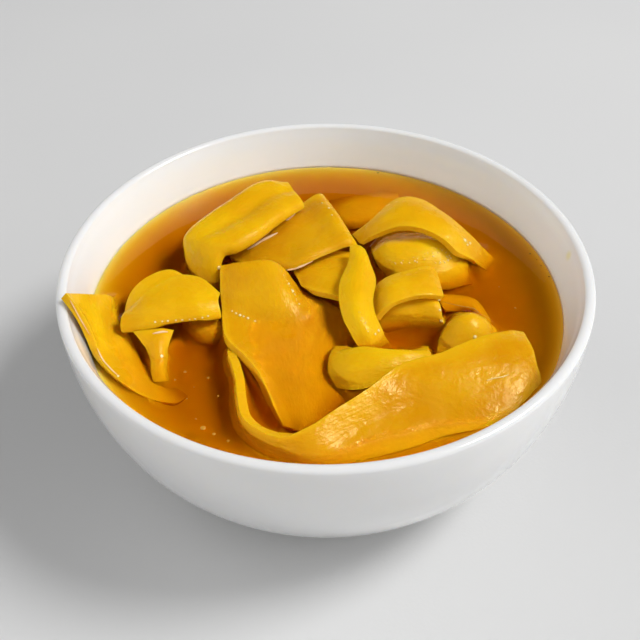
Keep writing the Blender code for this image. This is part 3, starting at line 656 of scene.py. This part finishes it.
dough_sheet("centre_strip_sheet", [
    line((-32.4, 11.2, 0.5), (-28.9, 10.9, 1.2), (-21.4, 10.4, 1.6),
         (-16.2, 11.0, -1.2), (-13.5, 11.6, -4.6)),
    line((-34.6, 8.9, 5.6), (-28.4, 8.5, 7.1), (-19.1, 9.4, 7.4),
         (-14.6, 9.2, 4.0), (-12.4, 9.6, -3.4)),
    line((-34.5, 1.2, 3.8), (-27.1, 0.5, 5.2), (-15.2, 1.3, 6.0),
         (-9.6, 2.0, 0.6), (-5.5, 2.6, -4.0)),
    line((-34.0, -4.7, 1.6), (-25.3, -6.3, 2.0), (-12.3, -5.8, 2.6),
         (-5.5, -2.8, -1.0), (1.5, -1.2, -3.6)),
    line((-33.5, -12.0, 0.8), (-24.6, -11.3, -0.5), (-11.0, -11.0, -0.6),
         (-1.2, -9.0, -2.2), (6.0, -7.0, -3.8)),
    line((-31.6, -21.3, 1.2), (-22.6, -21.5, -1.0), (-9.0, -20.2, -1.4),
         (2.0, -16.0, -3.2), (10.0, -14.0, -5.0)),
    line((-26.2, -28.5, 1.2), (-19.4, -30.2, -1.6), (-8.7, -29.4, -2.0),
         (0.2, -25.0, -4.6), (9.0, -20.5, -6.8)),
    line((-21.6, -35.1, 0.5), (-15.9, -37.5, -2.4), (-7.7, -38.1, -2.6),
         (0.6, -33.5, -5.0), (8.9, -28.5, -7.4)),
    line((-18.7, -41.6, -0.6), (-13.9, -44.2, -3.2), (-7.1, -45.6, -3.4),
         (0.5, -41.5, -5.0), (8.1, -36.0, -7.6)),
    line((-16.2, -48.0, -2.0), (-11.8, -49.7, -4.2), (-6.8, -51.0, -4.4),
         (-0.5, -47.5, -5.8), (6.0, -42.0, -8.2)),
    line((-13.5, -53.3, -4.0), (-10.0, -54.1, -5.4), (-5.8, -55.0, -6.2),
         (-1.0, -52.0, -7.6), (3.8, -47.0, -9.4)),
], "centre_strip", spans=(10, 16), tone=0.5)

upright = [
    between((-30.0, -22.6, -1.2), (-31.8, -21.8, -6.4)),
    between((-29.0, -28.2, 1.4), (-31.0, -27.5, -5.0)),
    between((-26.5, -36.9, 2.4), (-28.6, -36.1, -5.0)),
    between((-25.1, -46.4, 2.6), (-27.8, -45.9, -5.0)),
    between((-23.3, -53.7, 2.4), (-26.4, -53.4, -5.0)),
    between((-19.4, -58.2, 2.4), (-22.0, -59.8, -5.0)),
    between((-13.3, -61.4, 3.0), (-15.5, -64.3, -4.6)),
]
laid_flat = [
    line((-6.3, -60.1, 3.6), (-5.7, -61.6, 3.0), (-4.9, -63.3, 1.9),
         (-4.1, -65.6, 0.4), (-3.2, -67.2, -1.6), (-2.4, -67.8, -4.0)),
    line((1.5, -54.3, 4.6), (2.6, -55.7, 3.6), (4.0, -57.1, 2.3),
         (6.3, -58.6, 0.5), (9.0, -62.9, -1.4), (10.9, -66.0, -3.4)),
    line((11.8, -46.6, 5.6), (12.9, -48.8, 4.2), (14.6, -50.9, 2.5),
         (16.9, -52.8, 0.6), (20.4, -58.5, -1.2), (23.0, -62.9, -3.0)),
    line((22.1, -38.1, 6.2), (23.0, -41.2, 5.3), (24.6, -44.8, 3.5),
         (27.1, -48.6, 0.9), (31.1, -54.5, -1.0), (33.7, -58.5, -2.8)),
    line((34.2, -33.5, 5.8), (34.9, -37.7, 5.6), (36.0, -42.1, 4.3),
         (37.8, -47.6, 1.6), (42.0, -53.6, -0.9), (44.6, -56.2, -2.2)),
    line((46.7, -26.7, 5.2), (47.1, -32.0, 5.5), (48.0, -37.2, 4.6),
         (49.5, -43.6, 2.4), (52.0, -48.8, 0.0), (54.1, -50.9, -1.4)),
    line((57.0, -22.2, 3.4), (57.2, -27.4, 4.4), (58.0, -32.2, 4.2),
         (58.7, -37.8, 2.8), (59.9, -41.5, 1.0), (60.6, -43.4, -0.4)),
    line((61.6, -21.0, 1.6), (62.1, -25.8, 3.0), (62.9, -30.2, 3.0),
         (63.2, -34.7, 2.0), (63.6, -37.9, 0.6), (63.7, -39.9, -0.8)),
]
dough_sheet(
    "front_loop_sheet", upright + laid_flat, "front_loop", LOOP_THICKNESS, spans=(9, 10),
    relief=0.2, tone=(0.5, 0.5, 0.42, 0.32),
)

dough_sheet("front_parcel_sheet", [
    line((3.0, -21.6, -3.0), (1.2, -27.6, -1.4), (1.0, -33.4, -1.6), (3.4, -38.6, -3.6)),
    line((6.6, -22.8, -2.6), (6.3, -27.6, 1.3), (6.4, -34.6, 1.5), (7.9, -40.4, -2.2)),
    line((12.3, -25.4, -2.6), (12.1, -27.8, 2.9), (12.7, -34.9, 2.4), (13.9, -39.4, -1.4)),
    line((19.3, -26.0, -2.4), (19.1, -29.4, 3.2), (20.1, -33.9, 2.2), (21.4, -36.0, -1.4)),
    line((26.5, -24.8, -2.5), (26.2, -29.4, 2.4), (27.1, -31.5, 1.2), (28.1, -32.4, -2.0)),
    line((32.2, -22.6, -3.2), (32.1, -28.0, 0.4), (32.6, -29.6, -0.6), (33.7, -30.2, -3.0)),
], "front_parcel", FOLDED_THICKNESS, spans=(8, 10), tone=0.95)

dough_sheet("back_arch_sheet", [
    Rib((10.5, 31.0, 1.5), (13.0, 26.5, 1.5), 0.2),
    Rib((17.0, 33.0, 6.0), (18.5, 25.5, 5.8), 0.8),
    Rib((26.0, 41.0, 9.0), (26.0, 25.0, 9.3), 1.4),
    Rib((33.5, 41.0, 9.5), (33.0, 23.0, 9.8), 1.4),
    Rib((41.0, 35.5, 8.0), (40.0, 20.0, 7.8), 1.4),
    Rib((48.0, 30.0, 4.8), (45.0, 17.0, 4.4), 1.2),
    Rib((54.0, 26.0, 0.5), (50.5, 18.5, 0.0), 0.6),
    Rib((57.6, 24.0, -3.4), (54.0, 17.4, -3.8), 0.6),
    Rib((60.3, 23.2, -7.0), (56.7, 17.9, -7.4), 0.4),
], "back_arch", spans=(8, 12), tone=0.7)

dough_sheet("right_parcel_sheet", [
    line((17.0, 29.3, -2.5), (17.3, 22.4, -0.6), (19.2, 17.4, -1.5),
         (21.2, 14.9, -3.0), (22.5, 12.0, -5.0), (23.5, 9.5, -7.5)),
    line((21.6, 34.4, -2.0), (21.8, 22.6, 3.2), (23.1, 15.6, 2.2),
         (24.4, 13.3, -0.2), (25.5, 10.3, -2.6), (26.5, 7.3, -6.0)),
    line((30.4, 35.9, -1.5), (29.7, 22.3, 4.6), (30.2, 15.6, 3.0),
         (31.3, 13.0, 0.4), (32.2, 10.2, -2.0), (33.2, 7.0, -5.4)),
    line((39.0, 34.5, -1.5), (38.1, 23.2, 4.2), (39.1, 17.6, 2.4),
         (39.9, 14.6, 0.0), (41.0, 11.4, -2.2), (42.4, 7.6, -5.6)),
    line((45.2, 31.6, -2.5), (44.6, 23.1, 2.0), (45.4, 19.4, 0.3),
         (45.2, 16.2, -1.2), (46.2, 13.0, -3.0), (47.8, 9.8, -6.0)),
    line((51.1, 27.8, -4.6), (49.8, 22.2, -2.8), (49.6, 18.6, -3.0),
         (49.1, 15.7, -4.2), (49.6, 13.4, -5.8), (50.5, 11.6, -8.0)),
], "right_parcel", FOLDED_THICKNESS, spans=(8, 10), tone=0.95)

dough_sheet("right_fold_sheet", [
    Rib((15.2, 0.0, 1.4), (16.0, -12.0, 0.2), 0.5),
    Rib((20.5, 2.5, 5.2), (20.5, -11.0, 5.4), 1.4),
    Rib((27.5, 5.0, 6.0), (28.0, -8.0, 6.2), 1.2),
    Rib((34.0, 7.5, 5.6), (35.0, -6.5, 5.4), 1.0),
    Rib((36.5, 8.0, 3.8), (38.0, -5.5, 3.8), 0.6),
], "right_fold", spans=(8, 12), tone=0.75)

dough_sheet("right_underfold_sheet", [
    line((16.2, -5.7, -1.4), (17.0, -8.8, -2.4), (17.9, -11.3, -4.8), (18.9, -12.4, -7.8)),
    line((21.8, -3.8, 2.4), (23.3, -7.3, 1.2), (24.6, -9.7, -2.4), (25.7, -11.1, -6.5)),
    line((28.4, -3.4, 2.8), (29.8, -6.9, 1.6), (31.0, -9.7, -1.6), (32.1, -11.4, -5.5)),
    line((33.9, -4.0, 2.8), (35.2, -7.5, 2.0), (36.4, -10.7, -0.4), (37.4, -12.2, -3.0)),
    line((36.2, -4.1, 2.0), (37.2, -7.8, 1.4), (37.9, -11.1, 0.0), (38.6, -12.3, -2.0)),
], "right_underfold", FOLDED_THICKNESS, spans=(8, 10), tone=0.9)

dough_sheet("right_knob_sheet", [
    Rib((39.5, -12.0, -4.0), (34.5, -25.0, -4.0), 3.0),
    Rib((42.5, -8.0, -3.5), (40.0, -27.0, -3.0), 7.2),
    Rib((46.5, -7.0, -3.5), (45.8, -26.5, -3.0), 8.2),
    Rib((50.5, -8.5, -4.0), (51.0, -24.0, -4.0), 6.4),
    Rib((53.2, -10.5, -6.0), (54.8, -20.0, -6.0), 2.8),
], "right_knob", FOLDED_THICKNESS, spans=(8, 12), tone=0.65)

# ------------------------------------------------------------------ sunk dough
# More of the same dough lies just under the broth: a lump under the left fold, and the
# thin wings of the parcels at the back and right.

dough_sheet("sunk_left_lump", [
    line((-47.1, -5.6, -5.0), (-46.0, -9.5, -5.0), (-44.7, -12.1, -7.0)),
    line((-43.0, -9.3, -1.6), (-41.8, -13.4, -2.2), (-40.9, -16.0, -6.0)),
    line((-39.2, -8.6, -1.4), (-37.5, -13.7, -2.0), (-36.6, -17.0, -6.0)),
    line((-35.0, -8.5, -2.0), (-33.4, -13.2, -3.0), (-32.6, -15.2, -7.0)),
], spans=(8, 10))

dough_sheet("sunk_back_wing", [
    line((2.5, 60.6, -7.6), (3.5, 50.8, -5.1), (4.5, 45.2, -5.6), (6.0, 43.0, -8.1)),
    line((8.3, 61.7, -6.6), (9.6, 52.8, -3.9), (10.8, 45.6, -3.7), (12.2, 42.6, -6.1)),
    line((14.9, 62.8, -6.1), (16.0, 54.0, -3.5), (17.2, 47.4, -3.3), (18.6, 44.9, -5.6)),
    line((22.0, 64.7, -6.1), (23.0, 56.7, -3.7), (23.8, 51.6, -3.7), (24.8, 49.1, -5.6)),
    line((28.4, 66.6, -7.1), (28.9, 59.3, -4.7), (29.8, 55.4, -4.7), (30.5, 54.1, -6.6)),
], spans=(8, 10))

dough_sheet("sunk_knob_wing", [
    line((38.1, 3.1, -4.4), (38.3, -1.4, -3.6), (39.4, -4.3, -5.0)),
    line((44.2, 2.9, -4.4), (44.0, -1.2, -3.8), (44.6, -3.3, -6.0)),
    line((49.7, 0.8, -4.4), (48.7, -3.3, -3.8), (47.9, -4.3, -6.5)),
    line((52.5, -5.2, -4.4), (50.8, -8.0, -4.0), (49.5, -7.7, -7.0)),
    line((53.7, -13.2, -4.6), (51.9, -14.5, -4.6), (50.4, -13.4, -7.5)),
    line((53.5, -20.1, -5.5), (51.9, -20.0, -6.0), (50.9, -18.0, -8.5)),
], thickness=FOLDED_THICKNESS, spans=(8, 10))

# ------------------------------------------------------------------ broth
# A clear stock, amber with fat and egg, poured in round the dough. Light passes its
# first centimetre or so, and it climbs a little up the wall and the dough.

RINGS, SPOKES = 150, 400
INTO_WALL = 1.2
CLOUD_DEPTH, FLOOR_UNDER_CLOUD = 8.0, 3.0
MENISCUS, MENISCUS_REACH = 0.7, 1.3
WALL_FILM, WALL_FILM_REACH = 0.5, 1.8
SWELL, SWELL_LENGTH = 0.05, 14.0
DOUGH_SEARCH = 6.0
SUNK_DEPTH = 0.6
STANDING_DEPTH = 2.5
CLEAR_AMBER, AMBER_DENSITY = (0.87, 0.76, 0.0, 1), 250
THROWN_BACK = (0.95, 0.80, 0.60, 1)

level_mm = broth_level / MM
wall_heights = [height for radius, height in inside[::-1]]
wall_radii = [radius for radius, height in inside[::-1]]
wetted_radius = float(np.interp(level_mm, wall_heights, wall_radii))

# The dough as it lies, to find what is nearest to a place in mm. The standing dough is
# the part of it that comes near the surface.
graph = bpy.context.evaluated_depsgraph_get()
points, faces = [], []
for piece in dough_pieces:
    shape = piece.evaluated_get(graph).to_mesh()
    start = len(points)
    points += [v.co / MM for v in shape.vertices]
    faces += [[start + i for i in p.vertices] for p in shape.polygons]
    piece.evaluated_get(graph).to_mesh_clear()
dough_tree = BVHTree.FromPolygons(points, faces)
standing = [face for face in faces if min(points[i].z for i in face) > level_mm - STANDING_DEPTH]
standing_tree = BVHTree.FromPolygons(points, standing)


def add_ring(form, radius, spokes, height_at):
    """A ring of corners round the bowl's middle, each at its own height; all in mm."""
    ring = []
    for spoke in range(spokes):
        turn = 2 * math.pi * spoke / spokes
        x, y = radius * math.cos(turn), radius * math.sin(turn)
        ring.append(form.verts.new((x * MM, y * MM, height_at(x, y) * MM)))
    return ring


def join_rings(form, rings):
    for inner, outer in zip(rings, rings[1:]):
        for i in range(len(inner)):
            j = (i + 1) % len(inner)
            form.faces.new((inner[i], outer[i], outer[j], inner[j]))


def surface_height(x, y):
    """The surface in mm: all but level, and higher by the wall and the dough."""
    spot = Vector((x, y, level_mm))
    nearest = dough_tree.find_nearest(spot, DOUGH_SEARCH)
    clear = nearest[0] is None or nearest[0].z < level_mm - SUNK_DEPTH
    away = DOUGH_SEARCH if clear else nearest[3]
    to_wall = max(wetted_radius - spot.xy.length, 0.0)
    climb = WALL_FILM * math.exp(-to_wall / WALL_FILM_REACH)
    climb += MENISCUS * math.exp(-away / MENISCUS_REACH)
    return level_mm + min(climb, WALL_FILM) + SWELL * noise.noise(spot / SWELL_LENGTH)


surface = bmesh.new()
surface_radius = wetted_radius + INTO_WALL
centre = surface.verts.new((0, 0, surface_height(0, 0) * MM))
rings = [
    add_ring(surface, surface_radius * ring / RINGS, SPOKES, surface_height)
    for ring in range(1, RINGS + 1)
]
for i in range(SPOKES):
    surface.faces.new((centre, rings[0][i], rings[0][(i + 1) % SPOKES]))
floor = level_mm - CLOUD_DEPTH - FLOOR_UNDER_CLOUD
rings.append(add_ring(surface, surface_radius, SPOKES, lambda x, y: floor))
join_rings(surface, rings)
surface.faces.new(rings[-1][::-1])
bmesh.ops.recalc_face_normals(surface, faces=surface.faces)

# The depth takes up blue and some green. Shadow rays pass the surface, and diffuse
# light from above is thrown back as by a plain warm surface.
liquid, shader = new_material("amber_broth")[:2]
set_inputs(shader, {
    "Base Color": (1, 1, 1, 1), "Roughness": 0.0, "IOR": 1.25, "Transmission Weight": 1.0,
})
nodes = liquid.node_tree.nodes
absorb = nodes.new("ShaderNodeVolumeAbsorption")
set_inputs(absorb, {"Color": CLEAR_AMBER, "Density": AMBER_DENSITY})
ray = nodes.new("ShaderNodeLightPath").outputs
behind = nodes.new("ShaderNodeNewGeometry").outputs["Backfacing"]
from_above = combine("GREATER_THAN", ray["Is Diffuse Ray"], behind)
let_light = nodes.new("ShaderNodeBsdfTransparent")
bounced = nodes.new("ShaderNodeBsdfDiffuse")
set_inputs(bounced, {"Color": THROWN_BACK})
seen = shader.outputs["BSDF"]
for mask, other in ((ray["Is Shadow Ray"], let_light), (from_above, bounced)):
    either = nodes.new("ShaderNodeMixShader")
    set_inputs(either, {"Fac": mask, 1: seen, 2: other.outputs["BSDF"]})
    seen = either.outputs["Shader"]
set_inputs(nodes["Material Output"], {"Surface": seen, "Volume": absorb.outputs["Volume"]})
broth = make_piece("clear_broth", surface, liquid)
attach(broth, "root")
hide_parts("broth")

# ------------------------------------------------------------------ cloud in the broth
# Fine starch and egg hang in the stock and hide what lies deeper, as one golden brown.
# The cloud comes up by the wall, paler there, and round the dough, and stays under the
# dough that lies shallow. By the right wall, in the rim's shadow, the cloud gives off a
# painted glow that lifts the shade, standing in for light come through the wall.

CLOUD_RINGS, CLOUD_SPOKES = 110, 360
CLOUD_INTO_WALL = 1.0
CLOUD_UNDERSIDE = 2.0
CLOUD_BASE_IN = 6.0
CLEAR_SKIN = 0.25
CLOUD_REACH = 11.0
HALO_DEPTHS, HALO_SEARCH = (0.5, 2.0), 12.0
DOUGH_HALO, HALO_STRENGTH = 1.4, 0.8
UNDER_DOUGH = 0.6
SHALLOW_DOUGH = 3.2, 4.6
SHALLOW_REACH, EDGE_REACH, LIGHT_REACH = 4.0, 0.9, 4.5
STOCK = (0.67, 0.26, 0.004), (0.71, 0.29, 0.004)
THIN_STOCK = (0.93, 0.58, 0.02)
WALL_THROUGH = (0.96, 0.76, 0.28)
# Colour of the painted glow by the right wall.
PAINTED_GLOW = (0.30, 0.115, 0.002)


def cloud_height(x, y):
    """The cloud's top in mm: deep in the open, shallow by the wall and the dough."""
    inward = max(wetted_radius - math.hypot(x, y), 0.0)
    near_wall = math.exp(-inward / CLOUD_REACH)
    near_dough = 0.0
    for depth in HALO_DEPTHS:
        nearest = standing_tree.find_nearest(Vector((x, y, level_mm - depth)), HALO_SEARCH)
        if nearest[0] is not None:
            halo = HALO_STRENGTH * math.exp(-nearest[3] / DOUGH_HALO)
            near_dough = max(near_dough, halo)
    open_height = level_mm - CLEAR_SKIN - CLOUD_DEPTH * (1 - near_wall)
    height = open_height + (level_mm - CLEAR_SKIN - open_height) * near_dough
    under = dough_tree.ray_cast(Vector((x, y, level_mm)), -UP, CLOUD_DEPTH)[0]
    if under is not None:
        kept_under = max(open_height, min(height, under.z - UNDER_DOUGH))
        height += (kept_under - height) * np.interp(level_mm - under.z, SHALLOW_DOUGH, (1, 0))
    return height


cloud = bmesh.new()
painted_glow = cloud.verts.layers.float.new("painted_glow")
shallow = cloud.verts.layers.float.new("shallow")
at_edge = cloud.verts.layers.float.new("at_edge")
cloud_radius = wetted_radius + CLOUD_INTO_WALL
rings = []
for ring in range(CLOUD_RINGS + 1):
    radius = cloud_radius * ring / CLOUD_RINGS
    inward = max(wetted_radius - radius, 0.0)
    rings.append(add_ring(cloud, radius, CLOUD_SPOKES, cloud_height))
    for spoke, corner in enumerate(rings[-1]):
        to_right = max(math.cos(2 * math.pi * spoke / CLOUD_SPOKES), 0.0)
        corner[shallow] = math.exp(-inward / SHALLOW_REACH)
        corner[at_edge] = math.exp(-inward / EDGE_REACH)
        corner[painted_glow] = math.exp(-inward / LIGHT_REACH) * to_right
cloud_base = level_mm - CLOUD_DEPTH - CLOUD_UNDERSIDE
for radius, height in (
    (cloud_radius, level_mm - CLOUD_UNDERSIDE),
    (wetted_radius - CLOUD_BASE_IN, cloud_base),
    (0.0, cloud_base),
):
    rings.append(add_ring(cloud, radius, CLOUD_SPOKES, lambda x, y: height))
join_rings(cloud, rings)
bmesh.ops.remove_doubles(cloud, verts=cloud.verts, dist=0.00001)

cloud_stuff, shader, place = new_material("cloudy_stock")
drifts = use_group(mottling, place, Scale=70, Detail=2, Low=0, High=1)
deep = blend_colours(drifts, *STOCK)
thin = blend_colours(measured(cloud_stuff, "shallow"), deep, THIN_STOCK)
# Emission by the right wall, where the rim casts shade: a painted glow, no lamp.
painted_glow_mask = measured(cloud_stuff, "painted_glow")
set_inputs(shader, {
    "Base Color": blend_colours(measured(cloud_stuff, "at_edge"), thin, WALL_THROUGH),
    "Roughness": 1.0, "Specular IOR Level": 0.0,
    "Subsurface Weight": 0.5, "Subsurface Radius": (1.0, 0.55, 0.1), "Subsurface Scale": 0.006,
    "Emission Color": blend_colours(painted_glow_mask, (0.0, 0.0, 0.0), PAINTED_GLOW),
    "Emission Strength": 1.0,
})
cloudy = make_piece("cloudy_depth", cloud, cloud_stuff)
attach(cloudy, "root")

# ------------------------------------------------------------------ drops and threads of broth
# Drops of broth that have stayed on the dough's edges and faces, threads of it held in
# the creases where sheets touch, and drops of fat and specks of spice afloat. All hold
# on by their own wetness. The drops, threads and films on the dough are pale and lie
# where the lamp would glint: they are real drops whose colour is partly painted glints
# and highlights.

DROP_FLATNESS = 0.5
FILM_FLATNESS = 0.45
FAT_FLATNESS = 0.22
FAT_OVER_BROTH = 0.08
SPECK_OVER_BROTH = 0.05
THREAD_SIDES = 8
THREAD_STEPS = 24
THREAD_END, THREAD_TAPER = 0.15, 0.6
THREAD_LIFT = 0.3
THREAD_LOOK = 0.02
BEAD_LEAST, BEAD_MORE = 0.12, 0.26
BEAD_TURN = 2.4
BEAD_SPACING, BEAD_SIZING = 0.618, 0.382


def on_dough(place):
    """The dough's nearest point to a place over the broth's level, in mm, and its normal."""
    nearest = dough_tree.find_nearest(Vector(place) + UP * level_mm, DOUGH_SEARCH)
    return nearest[0], nearest[1]


def add_drop(form, centre, normal, radius, flatness):
    turn = normal.to_track_quat("Z", "Y").to_matrix().to_4x4()
    squash = Matrix.Diagonal((radius, radius, radius * flatness, 1.0))
    bmesh.ops.create_icosphere(
        form, subdivisions=2, radius=1.0, matrix=Matrix.Translation(centre) @ turn @ squash,
    )


def add_thread(form, places, radius, afloat=False):
    """A thread along the dough or afloat, thickest in its middle and fine at its ends."""
    if afloat:
        path = [Vector(place) + UP * level_mm for place in places]
    else:
        path = [spot + normal * radius * THREAD_LIFT for spot, normal in map(on_dough, places)]
    last = len(path) - 1
    rings = []
    for step in range(THREAD_STEPS + 1):
        part = step / THREAD_STEPS
        here = smooth_point(path, part * last)
        ahead = smooth_point(path, min(part + THREAD_LOOK, 1.0) * last)
        behind = smooth_point(path, max(part - THREAD_LOOK, 0.0) * last)
        along = (ahead - behind).normalized()
        side = along.cross(UP).normalized()
        rise = side.cross(along)
        fullness = math.sin(math.pi * part) ** THREAD_TAPER
        thick = radius * (THREAD_END + (1 - THREAD_END) * fullness)
        turns = [2 * math.pi * i / THREAD_SIDES for i in range(THREAD_SIDES)]
        rings.append([
            form.verts.new(here + (side * math.cos(a) + rise * math.sin(a)) * thick)
            for a in turns
        ])
    join_rings(form, rings)
    form.faces.new(rings[0])
    form.faces.new(rings[-1][::-1])


def wet_patch(form, places, count, spread_out):
    """Many drops of mixed sizes, run nearly together along a line of places."""
    path = [Vector(place) for place in places]
    for i in range(count):
        middle = smooth_point(path, (i + 0.5) / count * (len(path) - 1))
        turn, away = BEAD_TURN * i, math.sqrt(BEAD_SPACING * i % 1.0)
        aside = Vector((math.cos(turn), math.sin(turn), 0.0)) * away
        spot, normal = on_dough(middle + aside * spread_out)
        radius = BEAD_LEAST + BEAD_MORE * (BEAD_SIZING * i % 1.0) ** 2
        add_drop(form, spot, normal, radius, FILM_FLATNESS)


def wet_piece(name, form, material):
    """A piece of a form drawn in mm, wetted to the rest of the soup."""
    for vert in form.verts:
        vert.co *= MM
    bmesh.ops.recalc_face_normals(form, faces=form.faces)
    piece = make_piece(name, form, material)
    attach(piece, "root")


def wet_material(name, roughness, first, second):
    """A wet gloss over two shades of a colour, in small patches: the drop's own colour,
    or a pale one that paints a glint or highlight.
    """
    material, shader, place = new_material(name)
    patches = use_group(mottling, place, Scale=300, Detail=1, Low=0, High=1)
    colour = blend_colours(patches, first, second)
    set_inputs(shader, {"Base Color": colour, "Roughness": roughness, "IOR": 1.4})
    return material


# The drops' pale cream colour is a painted glint on the wet dough.
glint_drop_material = wet_material("broth_drop_painted_glint", 0.12, (1.0, 0.76, 0.28), (1.0, 0.84, 0.42))
# The threads' pale peach colour is a painted glint: lamp light caught by broth in the creases.
glint_thread_material = wet_material("broth_thread_painted_glint", 0.2, (1.0, 0.62, 0.34), (1.0, 0.72, 0.46))
fat_material = wet_material("drop_of_fat", 0.35, (0.56, 0.24, 0.015), (0.66, 0.32, 0.03))
# The films' pale yellow colour is a painted highlight on the wet dough.
highlight_film_material = wet_material("broth_film_painted_highlight", 0.25, (1.0, 0.62, 0.10), (1.0, 0.74, 0.26))
speck_material = wet_material("speck_of_spice", 0.5, (0.34, 0.20, 0.012), (0.48, 0.29, 0.02))

# Drops set where the dough glints, pale: painted glints.
drops = bmesh.new()
for place, radius in (
    ((-30.4, -8.4, 2.1), 0.32), ((-29.1, -9.2, 1.9), 0.42), ((-27.8, -9.8, 1.6), 0.5),
    ((-26.6, -10.2, 1.4), 0.34), ((-25.2, -10.7, 1.1), 0.44), ((-22.9, -11.6, 0.7), 0.36),
    ((-53.8, -17.2, 5.9), 0.36), ((-51.6, -16.9, 5.8), 0.3), ((-49.9, -16.5, 5.6), 0.4),
    ((-47.4, -16.2, 5.5), 0.34), ((-45.5, -15.8, 5.3), 0.42), ((-43.2, -15.4, 5.2), 0.3),
    ((-41.5, -15.1, 5.1), 0.4), ((-39.2, -14.7, 5.3), 0.32), ((-37.4, -14.3, 5.5), 0.36),
    ((-51.1, -27.3, 0.9), 0.55), ((-63.4, -35.8, 1.1), 0.4), ((-35.7, 10.3, 4.9), 0.75),
    ((37.0, -9.1, 2.1), 0.5), ((37.2, -12.3, -0.1), 0.6), ((46.6, -22.3, 2.5), 0.6),
    ((48.7, 22.9, 5.5), 0.7), ((49.8, 21.6, 4.6), 0.45), ((16.4, -18.8, 2.4), 0.5),
    ((15.0, -20.4, 2.4), 0.4), ((-12.6, 1.4, 4.6), 0.4), ((-11.4, -1.2, 3.4), 0.5),
    ((50.7, 23.2, 4.0), 0.6), ((1.8, 38.5, 8.6), 0.4), ((2.8, 33.8, 8.9), 0.35),
    ((-0.6, 42.5, 7.9), 0.35), ((37.0, -5.6, 3.3), 0.45),
):
    spot, normal = on_dough(place)
    add_drop(drops, spot, normal, radius, DROP_FLATNESS)
loop_edge = ((47.0, -42.8, 4.4), (49.7, -41.9, 4.4), (51.9, -41.4, 4.4), (54.2, -40.4, 4.3))
add_thread(drops, loop_edge, 0.2)
wet_piece("painted_glints_on_dough", drops, glint_drop_material)

# Patches of small pale drops where the dough faces the lamp: painted highlights.
highlight_films = bmesh.new()
for count, wide, places in (
    (34, 1.8, ((22.6, 14.8, 2.8), (27.4, 14.4, 3.0), (32.6, 15.2, 3.4),
               (38.3, 18.0, 4.1), (41.0, 20.8, 4.3))),
    (26, 1.9, ((37.0, 15.6, 2.4), (40.4, 16.0, 1.8), (43.4, 17.6, 2.4), (43.0, 19.6, 3.0))),
    (20, 0.9, ((-14.6, 5.8, 7.4), (-13.0, 2.7, 6.0), (-11.3, -0.2, 4.6),
               (-9.7, -3.1, 3.2), (-8.4, -6.1, 1.9))),
    (10, 1.3, ((10.8, -14.9, 7.2), (11.9, -18.2, 6.0), (14.0, -21.5, 3.6))),
    (6, 0.8, ((47.2, 23.6, 6.4), (49.0, 22.6, 5.2), (50.7, 23.2, 4.0))),
):
    wet_patch(highlight_films, places, count, wide)
wet_piece("painted_highlights_on_dough", highlight_films, highlight_film_material)

# Threads along the creases and the rim strip's edge, pale: painted glints.
threads = bmesh.new()
for radius, places in (
    (0.55, ((-27.1, 23.0, 2.3), (-24.6, 24.1, 3.2), (-21.9, 26.1, 3.8),
            (-19.1, 27.4, 4.5), (-16.3, 28.7, 5.2))),
    (0.5, ((-13.6, 35.3, 5.5), (-12.6, 36.4, 5.6), (-11.4, 37.8, 5.7), (-10.2, 39.4, 5.8))),
    (0.4, ((-12.6, 8.6, 5.2), (-11.1, 9.3, 5.0), (-8.4, 9.5, 5.4),
           (-6.0, 10.4, 5.9), (-4.0, 11.4, 6.4))),
    (0.35, ((-54.6, -19.9, 3.2), (-53.0, -19.6, 3.5), (-51.4, -19.0, 3.3), (-50.0, -18.4, 2.6))),
    (0.2, ((-77.6, -20.2, 18.3), (-75.6, -23.2, 16.5), (-73.9, -25.2, 13.8), (-72.2, -26.0, 9.0))),
    (0.24, ((-70.4, -27.8, 5.2), (-68.6, -30.5, 2.7), (-66.1, -33.3, 2.0), (-63.4, -35.8, 1.1))),
):
    add_thread(threads, places, radius)
wet_piece("painted_glints_in_creases", threads, glint_thread_material)

afloat = bmesh.new()
for x, y, radius in (
    (-43.4, -33.5, 0.5), (-46.1, -36.8, 0.4), (-36.2, -36.1, 0.45), (-32.6, -43.6, 0.35),
    (-36.0, -56.0, 0.8), (-32.7, -58.3, 0.5), (-28.5, -60.9, 0.45), (-38.4, -52.5, 0.35),
    (-41.8, -44.6, 0.3), (-40.1, -39.9, 0.25), (62.1, -6.4, 0.4), (58.4, 4.2, 0.3),
):
    add_drop(afloat, Vector((x, y, level_mm + FAT_OVER_BROTH)), UP, radius, FAT_FLATNESS)
wing_edge = ((38.8, -2.9, 0.0), (44.2, -5.0, 0.0), (48.6, -6.5, 0.0), (50.8, -10.6, 0.3))
add_thread(afloat, wing_edge, 0.16, afloat=True)
wet_piece("fat_afloat", afloat, fat_material)

specks = bmesh.new()
for x, y, radius in (
    (71.9, 21.7, 0.36), (74.5, 15.0, 0.3), (76.1, 9.1, 0.34), (21.5, 73.0, 0.4),
    (73.6, 18.3, 0.25),
):
    add_drop(specks, Vector((x, y, level_mm + SPECK_OVER_BROTH)), UP, radius, FAT_FLATNESS)
wet_piece("specks_of_spice", specks, speck_material)
